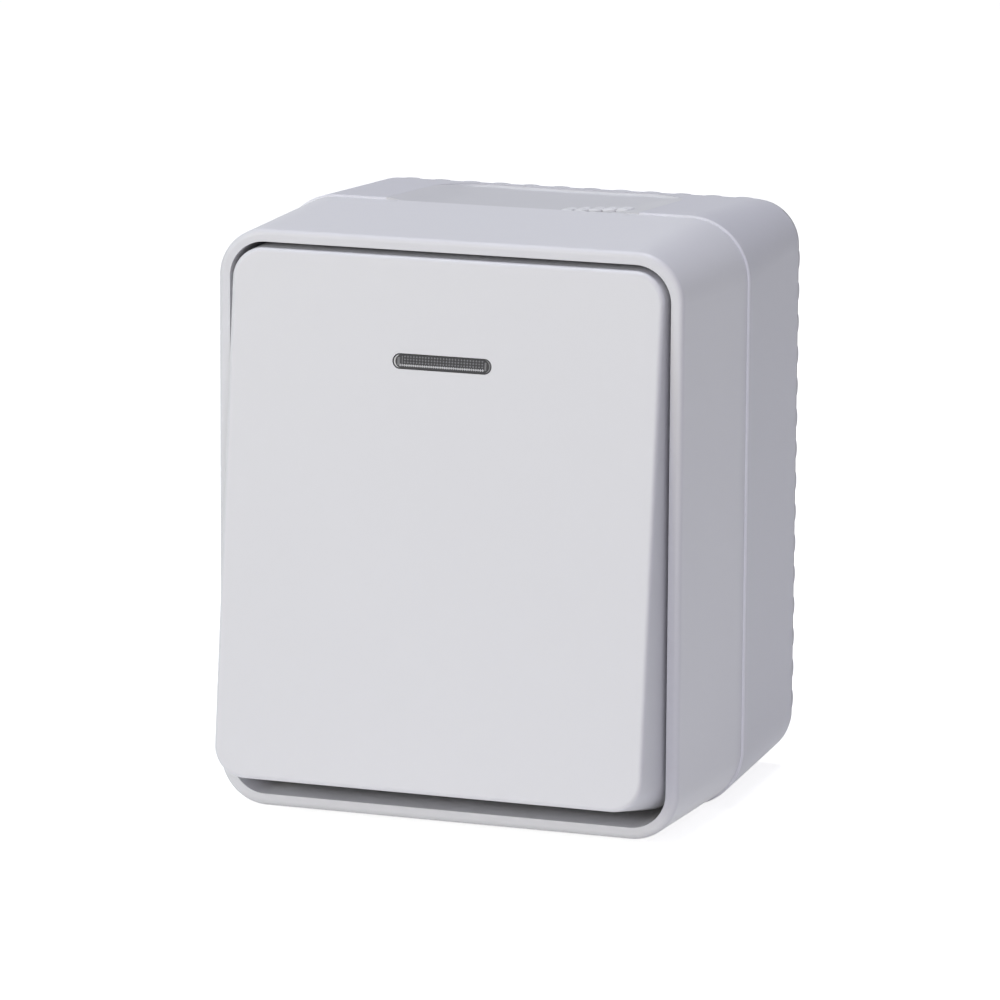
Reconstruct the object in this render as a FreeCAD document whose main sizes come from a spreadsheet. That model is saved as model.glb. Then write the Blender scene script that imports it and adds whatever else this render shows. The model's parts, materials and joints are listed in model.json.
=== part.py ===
import FreeCAD, Part
import math
import os

import Sketcher
from FreeCAD import Placement, Rotation, Vector

# Surface-mounted weatherproof rocker switch with an indicator window.
# Frame of the whole model: X to the right, Y into the wall, Z up, origin in the middle of the
# back face that lies on the wall. "Forward" is the distance from the wall, so it is minus Y.
# Pieces that tilt with the rocker are drawn about the rocker's pivot, where forward is the
# distance in front of that pivot, and are then turned by the tilt.

SIZES = {
    # outer case
    "rim_width": 75.0,
    "rim_height": 90.7,
    "case_depth": 60.8,
    "seam_forward": 32.0,
    "seam_flare": 1.05,
    "seam_step": 0.35,
    "seam_round": 0.3,
    "rear_draw_in": 0.25,
    "rim_corner": 7.6,
    "seam_corner": 9.5,
    "rear_corner": 7.2,
    "rim_round": 0.9,
    "rim_wall": 1.9,
    # inside of the case
    "base_rim_wall": 4.4,
    "back_wall": 3.0,
    "rebate_margin": 2.6,
    "rebate_depth": 3.2,
    "lip_clearance": 0.15,
    "cover_seal_thickness": 1.3,
    "web_forward": 41.0,
    "web_thickness": 2.5,
    # soft lip on the wall
    "wall_seal_thickness": 1.5,
    "wall_seal_width": 2.2,
    "bump_pitch": 5.1,
    "bump_length": 2.6,
    "bump_height": 0.2,
    # cable entry in the top
    "entry_width": 41.6,
    "entry_rear": 3.4,
    "entry_corner": 8.0,
    "scoop_front": 1.3,
    "scoop_rear": 0.5,
    "membrane_wall": 1.2,
    "membrane_frame": 5.0,
    # fixings
    "wall_hole_radius": 3.0,
    "wall_hole_inset_x": 18.5,
    "wall_hole_inset_z": 8.35,
    "wall_collar_wall": 2.2,
    "wall_collar_height": 1.2,
    "post_wall": 2.1,
    "plate_post_inset": 4.5,
    "plate_post_top": 34.0,
    "frame_post_inset_x": 7.5,
    "frame_post_inset_z": 9.35,
    "frame_boss_height": 3.0,
    "screw_radius": 1.5,
    "screw_head_rim": 1.5,
    "screw_head_height": 1.8,
    "screw_slot": 0.8,
    "screw_clearance": 0.2,
    "thread_clearance": 0.05,
    "frame_screw_reach": 14.0,
    "plate_screw_reach": 10.0,
    # support plate and mechanism
    "plate_thickness": 1.2,
    "plate_side_gap": 1.3,
    "plate_end_margin": 1.2,
    "plate_corner": 3.0,
    "plate_notch_gap": 0.5,
    "housing_shoulder": 1.5,
    "housing_end": 2.4,
    "housing_over_lamp": 3.9,
    "housing_rear": 14.0,
    "collar_width": 36.0,
    "collar_end": 1.8,
    "collar_clearance": 0.2,
    "collar_rise": 1.2,
    "pocket_width": 13.0,
    "bridge_end_gap": 1.4,
    "pocket_floor_gap": 0.6,
    "pocket_clearance": 0.4,
    "chamber_gap": 0.4,
    "chamber_wall": 0.9,
    "chamber_clearance": 0.3,
    "wire_hole_radius": 1.5,
    "cover_thickness": 1.6,
    "cover_window_inset": 0.6,
    "cover_screw_radius": 1.0,
    "cover_screw_rim": 0.9,
    "cover_screw_inset": 2.85,
    "cover_screw_reach": 9.0,
    # rocker bearing
    "pivot_forward": 46.3,
    "tilt": 6.2,
    "ear_inset": 5.6,
    "ear_thickness": 3.0,
    "ear_wall": 1.4,
    "trunnion_radius": 2.0,
    "trunnion_clearance": 0.05,
    "trunnion_overhang": 0.6,
    # cradle, drawn about the pivot
    "hub_side_gap": 0.4,
    "hub_half_height": 6.0,
    "hub_rear": 4.0,
    "hub_front": 2.6,
    "neck_draw_in": 1.0,
    "saddle_rear": 10.0,
    "saddle_thickness": 2.2,
    "saddle_reach": 1.6,
    "saddle_half_height": 12.0,
    "sleeve_wall": 1.66,
    "sleeve_reach": 9.5,
    # plunger, drawn about the pivot
    "plunger_radius": 2.45,
    "plunger_clearance": 0.09,
    "nose_radius": 1.6,
    "bridge_gap": 0.12,
    "plunger_shoulder": 10.6,
    "plunger_back": 6.2,
    "spring_wire": 0.35,
    "spring_draw_in": 0.65,
    "spring_turns": 5.0,
    "bore_end": 1.2,
    # contacts
    "bridge_forward": 31.6,
    "bridge_half_width": 4.0,
    "bridge_margin": 0.2,
    "bridge_thickness": 0.8,
    "contact_z": 13.4,
    "contact_radius": 1.8,
    "contact_thickness": 0.9,
    "contact_gap": 0.12,
    "strip_thickness": 1.2,
    "terminal_half": 3.5,
    "terminal_depth": 6.2,
    "knife_half": 1.0,
    "knife_gap": 0.05,
    "knife_steepness": 0.65,
    "bend_margin": 0.7,
    "terminal_screw_radius": 1.3,
    "terminal_screw_rim": 1.0,
    "terminal_screw_inset": 5.5,
    # soft boot
    "boot_flange": 1.2,
    "boot_side_gap": 1.6,
    "boot_end_gap": 3.6,
    "boot_wall": 0.9,
    "boot_rise": 4.9,
    "boot_opening_x": 0.8,
    "boot_opening_z": 1.0,
    "boot_margin": 2.0,
    # rocker, drawn about the pivot
    "rocker_front": 19.8,
    "rocker_side_gap": 0.45,
    "rocker_end_gap": 0.85,
    "rocker_corner_ease": 0.7,
    "rocker_side_draft": 0.4,
    "rocker_end_draft": 1.72,
    "rocker_face_drop": 0.22,
    "rocker_face_corner": 4.85,
    "rocker_round": 0.7,
    "rocker_rear_round": 0.4,
    "rocker_depth": 16.0,
    "rocker_wall": 1.9,
    "rocker_plate_thickness": 2.0,
    "clip_gap": 0.2,
    "clip_wall": 1.8,
    "clip_hook": 0.8,
    "clip_hook_height": 0.9,
    "clip_play": 0.1,
    "rib_inset": 5.0,
    "rib_width": 1.6,
    # indicator
    "lens_above_lamp": 0.13,
    "lens_length": 16.0,
    "lens_height": 2.4,
    "lens_clearance": 0.1,
    "lens_sink": 0.1,
    "lens_flange_margin": 1.4,
    "lens_flange": 1.2,
    "guide_half_width": 6.0,
    "guide_half_height": 0.9,
    "guide_rear": 10.5,
    "lamp_above_collar": 2.0,
    "lamp_radius": 2.4,
    "lamp_tip_gap": 0.8,
    "lamp_seat": 0.1,
    "lamp_holder_half": 4.1,
    "lamp_holder_depth": 4.4,
    "lamp_socket_floor": 1.2,
    "lead_radius": 0.4,
    "lead_x": 1.2,
    "lead_reach": 4.0,
    "dome_gap": 0.8,
    "dome_wall": 0.8,
}

document = FreeCAD.newDocument("weatherproof_switch")
sheet = document.addObject("Spreadsheet::Sheet", "sizes")
for row, (alias, number) in enumerate(SIZES.items(), start=1):
    sheet.set(f"A{row}", alias)
    sheet.set(f"B{row}", str(number))
    sheet.setAlias(f"B{row}", alias)
document.recompute()


class Size:
    """A length that carries its formula on the sheet along with its present value."""

    def __init__(self, value, formula):
        self.value = float(value)
        self.formula = formula

    def joined(self, sign, other, value):
        return Size(value, f"({self.formula} {sign} {as_size(other).formula})")

    def __add__(self, other):
        return self.joined("+", other, self.value + as_size(other).value)

    def __sub__(self, other):
        return self.joined("-", other, self.value - as_size(other).value)

    def __mul__(self, other):
        return self.joined("*", other, self.value * as_size(other).value)

    def __truediv__(self, other):
        return self.joined("/", other, self.value / as_size(other).value)

    def __neg__(self):
        return Size(-self.value, f"(0 - {self.formula})")


def as_size(number):
    return number if isinstance(number, Size) else Size(number, str(number))


def sine(angle):
    return Size(math.sin(math.radians(angle.value)), f"sin({angle.formula} * 1 deg)")


def cosine(angle):
    return Size(math.cos(math.radians(angle.value)), f"cos({angle.formula} * 1 deg)")


class Sizes:
    """The sheet's cells by name."""

    def __getattr__(self, alias):
        return Size(sheet.get(alias), f"sizes.{alias}")


S = Sizes()
ZERO = Size(0, "0")
nodes = []


# Derived outlines and levels, each worked out from the cells
seam_width = S.rim_width + S.seam_flare * 2
seam_height = S.rim_height + S.seam_flare * 2
base_width = seam_width + S.seam_step * 2
base_height = seam_height + S.seam_step * 2
base_corner = S.seam_corner + S.seam_step
rear_width = S.rim_width - S.rear_draw_in * 2
rear_height = S.rim_height - S.rear_draw_in * 2
cavity_width = base_width - S.base_rim_wall * 2
cavity_height = base_height - S.base_rim_wall * 2
cavity_corner = base_corner - S.base_rim_wall
rebate_width = base_width - S.rebate_margin * 2
rebate_height = base_height - S.rebate_margin * 2
rebate_corner = base_corner - S.rebate_margin
rebate_floor = S.seam_forward - S.rebate_depth
web_front = S.web_forward + S.web_thickness
well_width = S.rim_width - S.rim_wall * 2
well_height = S.rim_height - S.rim_wall * 2
well_corner = S.rim_corner - S.rim_wall
entry_half = S.entry_width / 2
wall_hole_x = cavity_width / 2 - S.wall_hole_inset_x
wall_hole_z = cavity_height / 2 - S.wall_hole_inset_z
post_radius = S.screw_radius + S.post_wall
screw_head_radius = S.screw_radius + S.screw_head_rim
plate_post_x = cavity_width / 2 - S.plate_post_inset
frame_post_x = cavity_width / 2 - S.frame_post_inset_x
frame_post_z = cavity_height / 2 - S.frame_post_inset_z
frame_post_top = S.web_forward - S.frame_boss_height
plate_width = cavity_width - S.plate_side_gap * 2
bridge_half_height = S.contact_z + S.contact_radius + S.bridge_margin
pocket_height = (bridge_half_height + S.bridge_end_gap) * 2
collar_height = pocket_height + S.collar_end * 2
cover_screw_head = S.cover_screw_radius + S.cover_screw_rim
cover_screw_x = S.collar_width / 2 - S.cover_screw_inset
cover_screw_z = collar_height / 2 - S.cover_screw_inset
housing_width = S.collar_width + S.housing_shoulder * 2
housing_bottom = collar_height / 2 + S.housing_end
lamp_z = collar_height / 2 + S.lamp_above_collar + S.lamp_holder_half
lens_z = lamp_z + S.lens_above_lamp
plate_height = (lamp_z + S.lamp_holder_half + S.plate_end_margin) * 2
housing_top = lamp_z + S.housing_over_lamp
ear_inner = S.collar_width / 2 - S.ear_inset
ear_outer = ear_inner + S.ear_thickness
ear_radius = S.trunnion_radius + S.ear_wall
trunnion_end = ear_outer + S.trunnion_overhang
hub_half_width = ear_inner - S.hub_side_gap
neck_half_width = hub_half_width - S.neck_draw_in
saddle_half_width = ear_outer + S.saddle_reach
rib_x = saddle_half_width - S.rib_inset
sleeve_half = S.plunger_radius + S.plunger_clearance + S.sleeve_wall
spring_radius = S.plunger_radius - S.spring_draw_in
boot_half_width = trunnion_end + S.boot_side_gap
boot_half_height = S.hub_half_height + S.boot_end_gap
boot_roof = S.pivot_forward + S.boot_rise
lamp_tip = boot_roof - S.boot_wall - S.lamp_tip_gap
chamber_half = S.terminal_half + S.chamber_gap
terminal_screw_head = S.terminal_screw_radius + S.terminal_screw_rim
terminal_screw_out = housing_width / 2 - S.terminal_screw_inset
plate_front = S.plate_post_top + S.plate_thickness
collar_front = plate_front + S.collar_rise
cover_front = collar_front + S.cover_thickness
rocker_width = well_width - S.rocker_side_gap * 2
rocker_height = well_height - S.rocker_end_gap * 2
rocker_corner = well_corner - S.rocker_side_gap - S.rocker_corner_ease
rocker_face_width = rocker_width - S.rocker_side_draft * 2
rocker_face_height = rocker_height - S.rocker_end_draft * 2
rocker_back = S.rocker_front - S.rocker_plate_thickness
saddle_front = S.saddle_rear + S.saddle_thickness
boot_inner_x = boot_half_width - S.boot_wall
boot_inner_z = boot_half_height - S.boot_wall
dome_inner = S.lamp_radius + S.dome_gap
dome_outer = dome_inner + S.dome_wall
bridge_front = S.bridge_forward + S.bridge_thickness
pressed_contact = (S.contact_z + S.contact_radius) * sine(S.tilt) + S.contact_thickness * cosine(S.tilt)
fixed_contact_front = S.bridge_forward - pressed_contact - S.contact_gap
fixed_contact_seat = fixed_contact_front - S.contact_thickness
pivot_to_bridge = S.pivot_forward - bridge_front
nose_centre = pivot_to_bridge - S.nose_radius - S.bridge_gap


def keep(piece, label):
    """Name a finished piece and list it for export."""
    piece.Label = label
    nodes.append(piece)
    return piece


def about_pivot(piece, forward, angle):
    """Move a piece drawn about a pivot to that pivot and turn it about X, in degrees."""
    piece.Placement = Placement(Vector(0, -forward.value, 0), Rotation(Vector(1, 0, 0), angle.value))
    piece.setExpression("Placement.Base.y", (-forward).formula)
    piece.setExpression("Placement.Rotation.Angle", angle.formula)
    return piece


# Sketches and their outlines
def sketch_in(body, name, role, offset):
    sketch = body.newObject("Sketcher::SketchObject", name)
    plane = next(p for p in body.Origin.OriginFeatures if p.Role == role)
    sketch.AttachmentSupport = (plane, [""])
    sketch.MapMode = "FlatFace"
    sketch.AttachmentOffset = Placement(Vector(0, 0, offset.value), Rotation())
    sketch.setExpression("AttachmentOffset.Base.z", offset.formula)
    return sketch


def front_sketch(body, name, forward):
    """A sketch seen from the front: its x is X, its y is Z and it looks away from the wall."""
    return sketch_in(body, name, "XZ_Plane", as_size(forward))


def tied(sketch, kind, size, *where):
    size = as_size(size)
    index = sketch.addConstraint(Sketcher.Constraint(kind, *where, size.value))
    name = f"size_{index}"
    sketch.renameConstraint(index, name)
    sketch.setExpression(f"Constraints.{name}", size.formula)


def circle(sketch, radius, x=ZERO, z=ZERO):
    radius, x, z = as_size(radius), as_size(x), as_size(z)
    ring = sketch.addGeometry(Part.Circle(Vector(x.value, z.value, 0), Vector(0, 0, 1), radius.value))
    tied(sketch, "Radius", radius, ring)
    tied(sketch, "DistanceX", x, -1, 1, ring, 3)
    tied(sketch, "DistanceY", z, -1, 1, ring, 3)


def polygon(sketch, corners):
    """A closed outline of straight edges, each corner placed from the origin."""
    corners = [(as_size(x), as_size(z)) for x, z in corners]
    places = [Vector(x.value, z.value, 0) for x, z in corners]
    edges = [sketch.addGeometry(Part.LineSegment(start, end))
             for start, end in zip(places, places[1:] + places[:1])]
    for edge, following in zip(edges, edges[1:] + edges[:1]):
        sketch.addConstraint(Sketcher.Constraint("Coincident", edge, 2, following, 1))
    for edge, (x, z) in zip(edges, corners):
        tied(sketch, "DistanceX", x, -1, 1, edge, 1)
        tied(sketch, "DistanceY", z, -1, 1, edge, 1)


def rectangle(sketch, left, right, bottom, top):
    polygon(sketch, [(left, bottom), (right, bottom), (right, top), (left, top)])


def rounded_rectangle(sketch, width, height, corner, x=ZERO, z=ZERO):
    width, height, corner, x, z = (as_size(each) for each in (width, height, corner, x, z))
    reach_x = width.value / 2 - corner.value
    reach_z = height.value / 2 - corner.value
    quarter = 90
    turns = [((1, -1), -quarter), ((1, 1), 0), ((-1, 1), quarter), ((-1, -1), 2 * quarter)]
    arcs = []
    for (side_x, side_z), start in turns:
        centre = Vector(x.value + side_x * reach_x, z.value + side_z * reach_z, 0)
        round_edge = Part.Circle(centre, Vector(0, 0, 1), corner.value)
        arcs.append(Part.ArcOfCircle(round_edge, math.radians(start), math.radians(start + quarter)))
    indices = []
    for arc, following in zip(arcs, arcs[1:] + arcs[:1]):
        indices.append(sketch.addGeometry(arc))
        indices.append(sketch.addGeometry(Part.LineSegment(arc.EndPoint, following.StartPoint)))
    for edge, following in zip(indices, indices[1:] + indices[:1]):
        sketch.addConstraint(Sketcher.Constraint("Tangent", edge, 2, following, 1))
    right, top, left, bottom = indices[1::2]
    for edge, direction in ((right, "Vertical"), (left, "Vertical"),
                            (top, "Horizontal"), (bottom, "Horizontal")):
        sketch.addConstraint(Sketcher.Constraint(direction, edge))
    for arc in indices[2::2]:
        sketch.addConstraint(Sketcher.Constraint("Equal", indices[0], arc))
    tied(sketch, "Radius", corner, indices[0])
    tied(sketch, "DistanceX", width, left, 1, right, 1)
    tied(sketch, "DistanceY", height, bottom, 1, top, 1)
    tied(sketch, "DistanceX", x + width / 2, -1, 1, right, 1)
    tied(sketch, "DistanceY", z + height / 2, -1, 1, top, 1)


def stadium(sketch, length, height, z):
    """A slot with round ends that lies across the middle."""
    length, height, z = as_size(length), as_size(height), as_size(z)
    radius, reach = height / 2, (length - height) / 2
    ends = []
    for side, start in ((1, -math.pi / 2), (-1, math.pi / 2)):
        round_edge = Part.Circle(Vector(side * reach.value, z.value, 0), Vector(0, 0, 1), radius.value)
        ends.append(Part.ArcOfCircle(round_edge, start, start + math.pi))
    indices = []
    for arc, following in zip(ends, reversed(ends)):
        indices.append(sketch.addGeometry(arc))
        indices.append(sketch.addGeometry(Part.LineSegment(arc.EndPoint, following.StartPoint)))
    for edge, following in zip(indices, indices[1:] + indices[:1]):
        sketch.addConstraint(Sketcher.Constraint("Tangent", edge, 2, following, 1))
    tied(sketch, "Radius", radius, indices[0])
    tied(sketch, "DistanceX", reach, -1, 1, indices[0], 3)
    tied(sketch, "DistanceX", -reach, -1, 1, indices[2], 3)
    tied(sketch, "DistanceY", z, -1, 1, indices[0], 3)
    tied(sketch, "DistanceY", z, -1, 1, indices[2], 3)


# Features of a body
def grow(body, kind, sketch, length, reverse=False):
    feature = body.newObject(f"PartDesign::{kind}", f"{sketch.Name}_{kind.lower()}")
    feature.Profile = sketch
    length = as_size(length)
    feature.Length = length.value
    feature.setExpression("Length", length.formula)
    feature.Reversed = reverse
    return feature


def pad(body, sketch, length, reverse=False):
    return grow(body, "Pad", sketch, length, reverse)


def pocket(body, sketch, length, reverse=False):
    return grow(body, "Pocket", sketch, length, reverse)


def loft(body, first, second):
    feature = body.newObject("PartDesign::AdditiveLoft", f"{first.Name}_loft")
    feature.Profile = first
    feature.Sections = [second]
    feature.Ruled = True
    return feature


def edges_where(feature, wanted):
    document.recompute()
    return [f"Edge{i}" for i, edge in enumerate(feature.Shape.Edges, start=1) if wanted(edge)]


def lies_at(edge, forward):
    return all(abs(v.Point.y + forward.value) < 1e-4 for v in edge.Vertexes)


def rounded(body, feature, radius, wanted):
    fillet = body.newObject("PartDesign::Fillet", f"{feature.Name}_round")
    fillet.Base = (feature, edges_where(feature, wanted))
    fillet.Radius = radius.value
    fillet.setExpression("Radius", radius.formula)
    return fillet


def new_body(label):
    return keep(document.addObject("PartDesign::Body", label), label)


# Plain solids for the inner pieces, given by their spans: X, forward and Z
def block(name, x_span, forward_span, z_span):
    (left, right), (rear, front), (bottom, top) = (
        tuple(as_size(end) for end in span) for span in (x_span, forward_span, z_span))
    box = document.addObject("Part::Box", name)
    for path, size in (("Length", right - left), ("Width", front - rear), ("Height", top - bottom),
                       ("Placement.Base.x", left), ("Placement.Base.y", -front), ("Placement.Base.z", bottom)):
        box.setExpression(path, size.formula)
    return box


def either_side(half):
    half = as_size(half)
    return -half, half


def around(centre, half):
    centre, half = as_size(centre), as_size(half)
    return centre - half, centre + half


def rod(name, radius, forward_span, x=ZERO, z=ZERO):
    """A round bar that runs away from the wall."""
    rear, front = (as_size(end) for end in forward_span)
    radius, x, z = as_size(radius), as_size(x), as_size(z)
    bar = document.addObject("Part::Cylinder", name)
    bar.Placement = Placement(Vector(x.value, -rear.value, z.value), Rotation(Vector(1, 0, 0), 90))
    for path, size in (("Radius", radius), ("Height", front - rear), ("Placement.Base.x", x),
                       ("Placement.Base.y", -rear), ("Placement.Base.z", z)):
        bar.setExpression(path, size.formula)
    return bar


def cross_rod(name, radius, x_span, forward, z=ZERO):
    """A round bar that runs from left to right."""
    left, right = (as_size(end) for end in x_span)
    radius, forward, z = as_size(radius), as_size(forward), as_size(z)
    bar = document.addObject("Part::Cylinder", name)
    bar.Placement = Placement(Vector(left.value, -forward.value, z.value), Rotation(Vector(0, 1, 0), 90))
    for path, size in (("Radius", radius), ("Height", right - left), ("Placement.Base.x", left),
                       ("Placement.Base.y", -forward), ("Placement.Base.z", z)):
        bar.setExpression(path, size.formula)
    return bar


def joined(name, solids):
    fuse = document.addObject("Part::MultiFuse", name)
    fuse.Shapes = solids
    fuse.Refine = True
    return fuse


def less(name, solid, tools):
    cut = document.addObject("Part::Cut", name)
    cut.Base = solid
    cut.Tool = joined(f"{name}_tools", tools) if len(tools) > 1 else tools[0]
    cut.Refine = True
    return cut


def ball(name, radius, forward, x=ZERO, z=ZERO):
    radius, forward, x, z = (as_size(each) for each in (radius, forward, x, z))
    sphere = document.addObject("Part::Sphere", name)
    for path, size in (("Radius", radius), ("Placement.Base.x", x), ("Placement.Base.y", -forward),
                       ("Placement.Base.z", z)):
        sphere.setExpression(path, size.formula)
    return sphere


def group(name, solids):
    compound = document.addObject("Part::Compound", name)
    compound.Links = solids
    return compound


def screw(name, x, z, seat, reach, shank, head):
    """A slotted pan screw whose head stands on the seat and whose shank reaches towards the wall."""
    top = seat + S.screw_head_height
    whole = joined(f"{name}_blank", [rod(f"{name}_head", head, (seat, top), x, z),
                                     rod(f"{name}_shank", shank, (seat - reach, seat), x, z)])
    slot = block(f"{name}_slot", around(x, head), (top - S.screw_slot, top), around(z, S.screw_slot / 2))
    return less(name, whole, [slot])


# Rear base: the wall box from the wall to the seam
def make_rear_base():
    body = new_body("rear_base")
    at_wall = front_sketch(body, "base_at_wall", ZERO)
    rounded_rectangle(at_wall, rear_width, rear_height, S.rear_corner)
    at_seam = front_sketch(body, "base_at_seam", S.seam_forward)
    rounded_rectangle(at_seam, base_width, base_height, base_corner)
    shell = loft(body, at_wall, at_seam)
    rounded(body, shell, S.seam_round, lambda edge: lies_at(edge, S.seam_forward))

    cavity = front_sketch(body, "base_cavity", S.seam_forward)
    rounded_rectangle(cavity, cavity_width, cavity_height, cavity_corner)
    pocket(body, cavity, S.seam_forward - S.back_wall)
    rebate = front_sketch(body, "base_rebate", S.seam_forward)
    rounded_rectangle(rebate, rebate_width, rebate_height, rebate_corner)
    pocket(body, rebate, S.rebate_depth)

    seal_seat = front_sketch(body, "base_seal_seat", ZERO)
    rounded_rectangle(seal_seat, rear_width + S.wall_seal_width, rear_height + S.wall_seal_width,
                      S.rear_corner)
    rounded_rectangle(seal_seat, rear_width - S.wall_seal_width * 2, rear_height - S.wall_seal_width * 2,
                      S.rear_corner - S.wall_seal_width)
    pocket(body, seal_seat, S.wall_seal_thickness, reverse=True)

    entry = sketch_in(body, "base_entry", "XY_Plane", base_height / 2 + 1)
    front_reach = S.seam_forward + S.entry_corner + 1
    rounded_rectangle(entry, S.entry_width, front_reach - S.entry_rear, S.entry_corner,
                      ZERO, -(front_reach + S.entry_rear) / 2)
    pocket(body, entry, (base_height - cavity_height) / 2 + 1.5)

    posts = front_sketch(body, "base_plate_posts", S.back_wall)
    for side in (-1, 1):
        circle(posts, post_radius, plate_post_x * side)
    pad(body, posts, S.plate_post_top - S.back_wall)
    frame_posts = front_sketch(body, "base_frame_posts", S.back_wall)
    for side in (-1, 1):
        circle(frame_posts, post_radius, frame_post_x * side, frame_post_z * side)
    pad(body, frame_posts, frame_post_top - S.back_wall)
    collars = front_sketch(body, "base_wall_collars", S.back_wall)
    for side_x in (-1, 1):
        for side_z in (-1, 1):
            circle(collars, S.wall_hole_radius + S.wall_collar_wall,
                   wall_hole_x * side_x, wall_hole_z * side_z)
    pad(body, collars, S.wall_collar_height)

    wall_holes = front_sketch(body, "base_wall_holes", S.back_wall + S.wall_collar_height)
    for side_x in (-1, 1):
        for side_z in (-1, 1):
            circle(wall_holes, S.wall_hole_radius, wall_hole_x * side_x, wall_hole_z * side_z)
    pocket(body, wall_holes, S.back_wall + S.wall_collar_height)
    pilot = S.screw_radius + S.thread_clearance
    plate_pilots = front_sketch(body, "base_plate_pilots", S.plate_post_top)
    for side in (-1, 1):
        circle(plate_pilots, pilot, plate_post_x * side)
    pocket(body, plate_pilots, S.plate_screw_reach)
    frame_pilots = front_sketch(body, "base_frame_pilots", frame_post_top)
    for side in (-1, 1):
        circle(frame_pilots, pilot, frame_post_x * side, frame_post_z * side)
    pocket(body, frame_pilots, S.frame_screw_reach)


# Soft lip that the base presses on the wall, with a row of small bumps along each side
def make_wall_seal():
    body = new_body("wall_seal")
    ring = front_sketch(body, "wall_seal_ring", ZERO)
    rounded_rectangle(ring, rear_width, rear_height, S.rear_corner)
    rounded_rectangle(ring, rear_width - S.wall_seal_width * 2, rear_height - S.wall_seal_width * 2,
                      S.rear_corner - S.wall_seal_width)
    pad(body, ring, S.wall_seal_thickness)
    root = S.wall_seal_width / 2
    for name, axis, across, along in (("ends", "H_Axis", rear_height, rear_width),
                                      ("sides", "V_Axis", rear_width, rear_height)):
        straight = along - S.rear_corner * 2 - S.bump_length
        count = int(straight.value // SIZES["bump_pitch"]) + 1
        first = -S.bump_pitch * (count - 1) / 2
        bumps = front_sketch(body, f"wall_seal_{name}", ZERO)
        for side in (-1, 1):
            inner, outer = (across / 2 - root) * side, (across / 2 + S.bump_height) * side
            near, far = first - S.bump_length / 2, first + S.bump_length / 2
            low, high = (inner, outer) if side > 0 else (outer, inner)
            if axis == "H_Axis":
                rectangle(bumps, near, far, low, high)
            else:
                rectangle(bumps, low, high, near, far)
        bump = pad(body, bumps, S.wall_seal_thickness)
        row = body.newObject("PartDesign::LinearPattern", f"wall_seal_{name}_row")
        row.Originals = [bump]
        row.Direction = (bumps, [axis])
        row.Occurrences = count
        row.setExpression("Length", (S.bump_pitch * (count - 1)).formula)
        body.Tip = row


# Soft cable entry: a scooped tongue moulded into the top of the base
def make_cable_entry_membrane():
    body = new_body("cable_entry_membrane")
    bottom = cavity_height / 2
    slope = (base_height - rear_height) / 2 / S.seam_forward
    sections = []
    for name, forward, sag in (("entry_rear_section", S.entry_rear, S.scoop_rear),
                               ("entry_seam_section", S.seam_forward, S.scoop_front)):
        top = rear_height / 2 + slope * forward
        sketch = front_sketch(body, name, forward)
        reach = entry_half.value
        lower_left, lower_right = Vector(-reach, bottom.value, 0), Vector(reach, bottom.value, 0)
        upper_left, upper_right = Vector(-reach, top.value, 0), Vector(reach, top.value, 0)
        middle = Vector(0, (top - sag).value, 0)
        edges = [sketch.addGeometry(Part.LineSegment(upper_left, lower_left)),
                 sketch.addGeometry(Part.LineSegment(lower_left, lower_right)),
                 sketch.addGeometry(Part.LineSegment(lower_right, upper_right)),
                 sketch.addGeometry(Part.Arc(upper_left, middle, upper_right))]
        for edge, following in zip(edges[:2], edges[1:3]):
            sketch.addConstraint(Sketcher.Constraint("Coincident", edge, 2, following, 1))
        sketch.addConstraint(Sketcher.Constraint("Coincident", edges[3], 1, edges[0], 1))
        sketch.addConstraint(Sketcher.Constraint("Coincident", edges[3], 2, edges[2], 2))
        for edge, point, x, z in ((edges[0], 1, -entry_half, top), (edges[1], 1, -entry_half, bottom),
                                  (edges[1], 2, entry_half, bottom), (edges[2], 2, entry_half, top)):
            tied(sketch, "DistanceX", x, -1, 1, edge, point)
            tied(sketch, "DistanceY", z, -1, 1, edge, point)
        tied(sketch, "Radius", (entry_half * entry_half + sag * sag) / (sag * 2), edges[3])
        sections.append(sketch)
    tongue = loft(body, *sections)

    def is_rear_upright(edge):
        low, high = edge.BoundBox.ZMin, edge.BoundBox.ZMax
        return lies_at(edge, S.entry_rear) and high - low > 1 and edge.BoundBox.XLength < 1e-4

    rounded(body, tongue, S.entry_corner, is_rear_upright)
    rebate = front_sketch(body, "entry_rebate", S.seam_forward)
    rectangle(rebate, -entry_half - 1, entry_half + 1, bottom - 1, rebate_height / 2)
    pocket(body, rebate, S.rebate_depth)
    thin = sketch_in(body, "entry_thin", "XY_Plane", bottom)
    front, rear = rebate_floor - S.membrane_frame / 2, S.entry_rear + S.membrane_frame
    rounded_rectangle(thin, S.entry_width - S.membrane_frame * 2, front - rear, S.entry_corner / 2,
                      ZERO, -(front + rear) / 2)
    lowest = rear_height / 2 + slope * rear - S.scoop_front
    pocket(body, thin, lowest - bottom - S.membrane_wall, reverse=True)


# Gasket in the base's rebate
def make_cover_seal():
    body = new_body("cover_seal")
    ring = front_sketch(body, "cover_seal_ring", rebate_floor)
    slack = S.lip_clearance * 2
    rounded_rectangle(ring, rebate_width - slack, rebate_height - slack, rebate_corner - S.lip_clearance)
    rounded_rectangle(ring, cavity_width + slack, cavity_height + slack, cavity_corner + S.lip_clearance)
    pad(body, ring, S.cover_seal_thickness)


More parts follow.
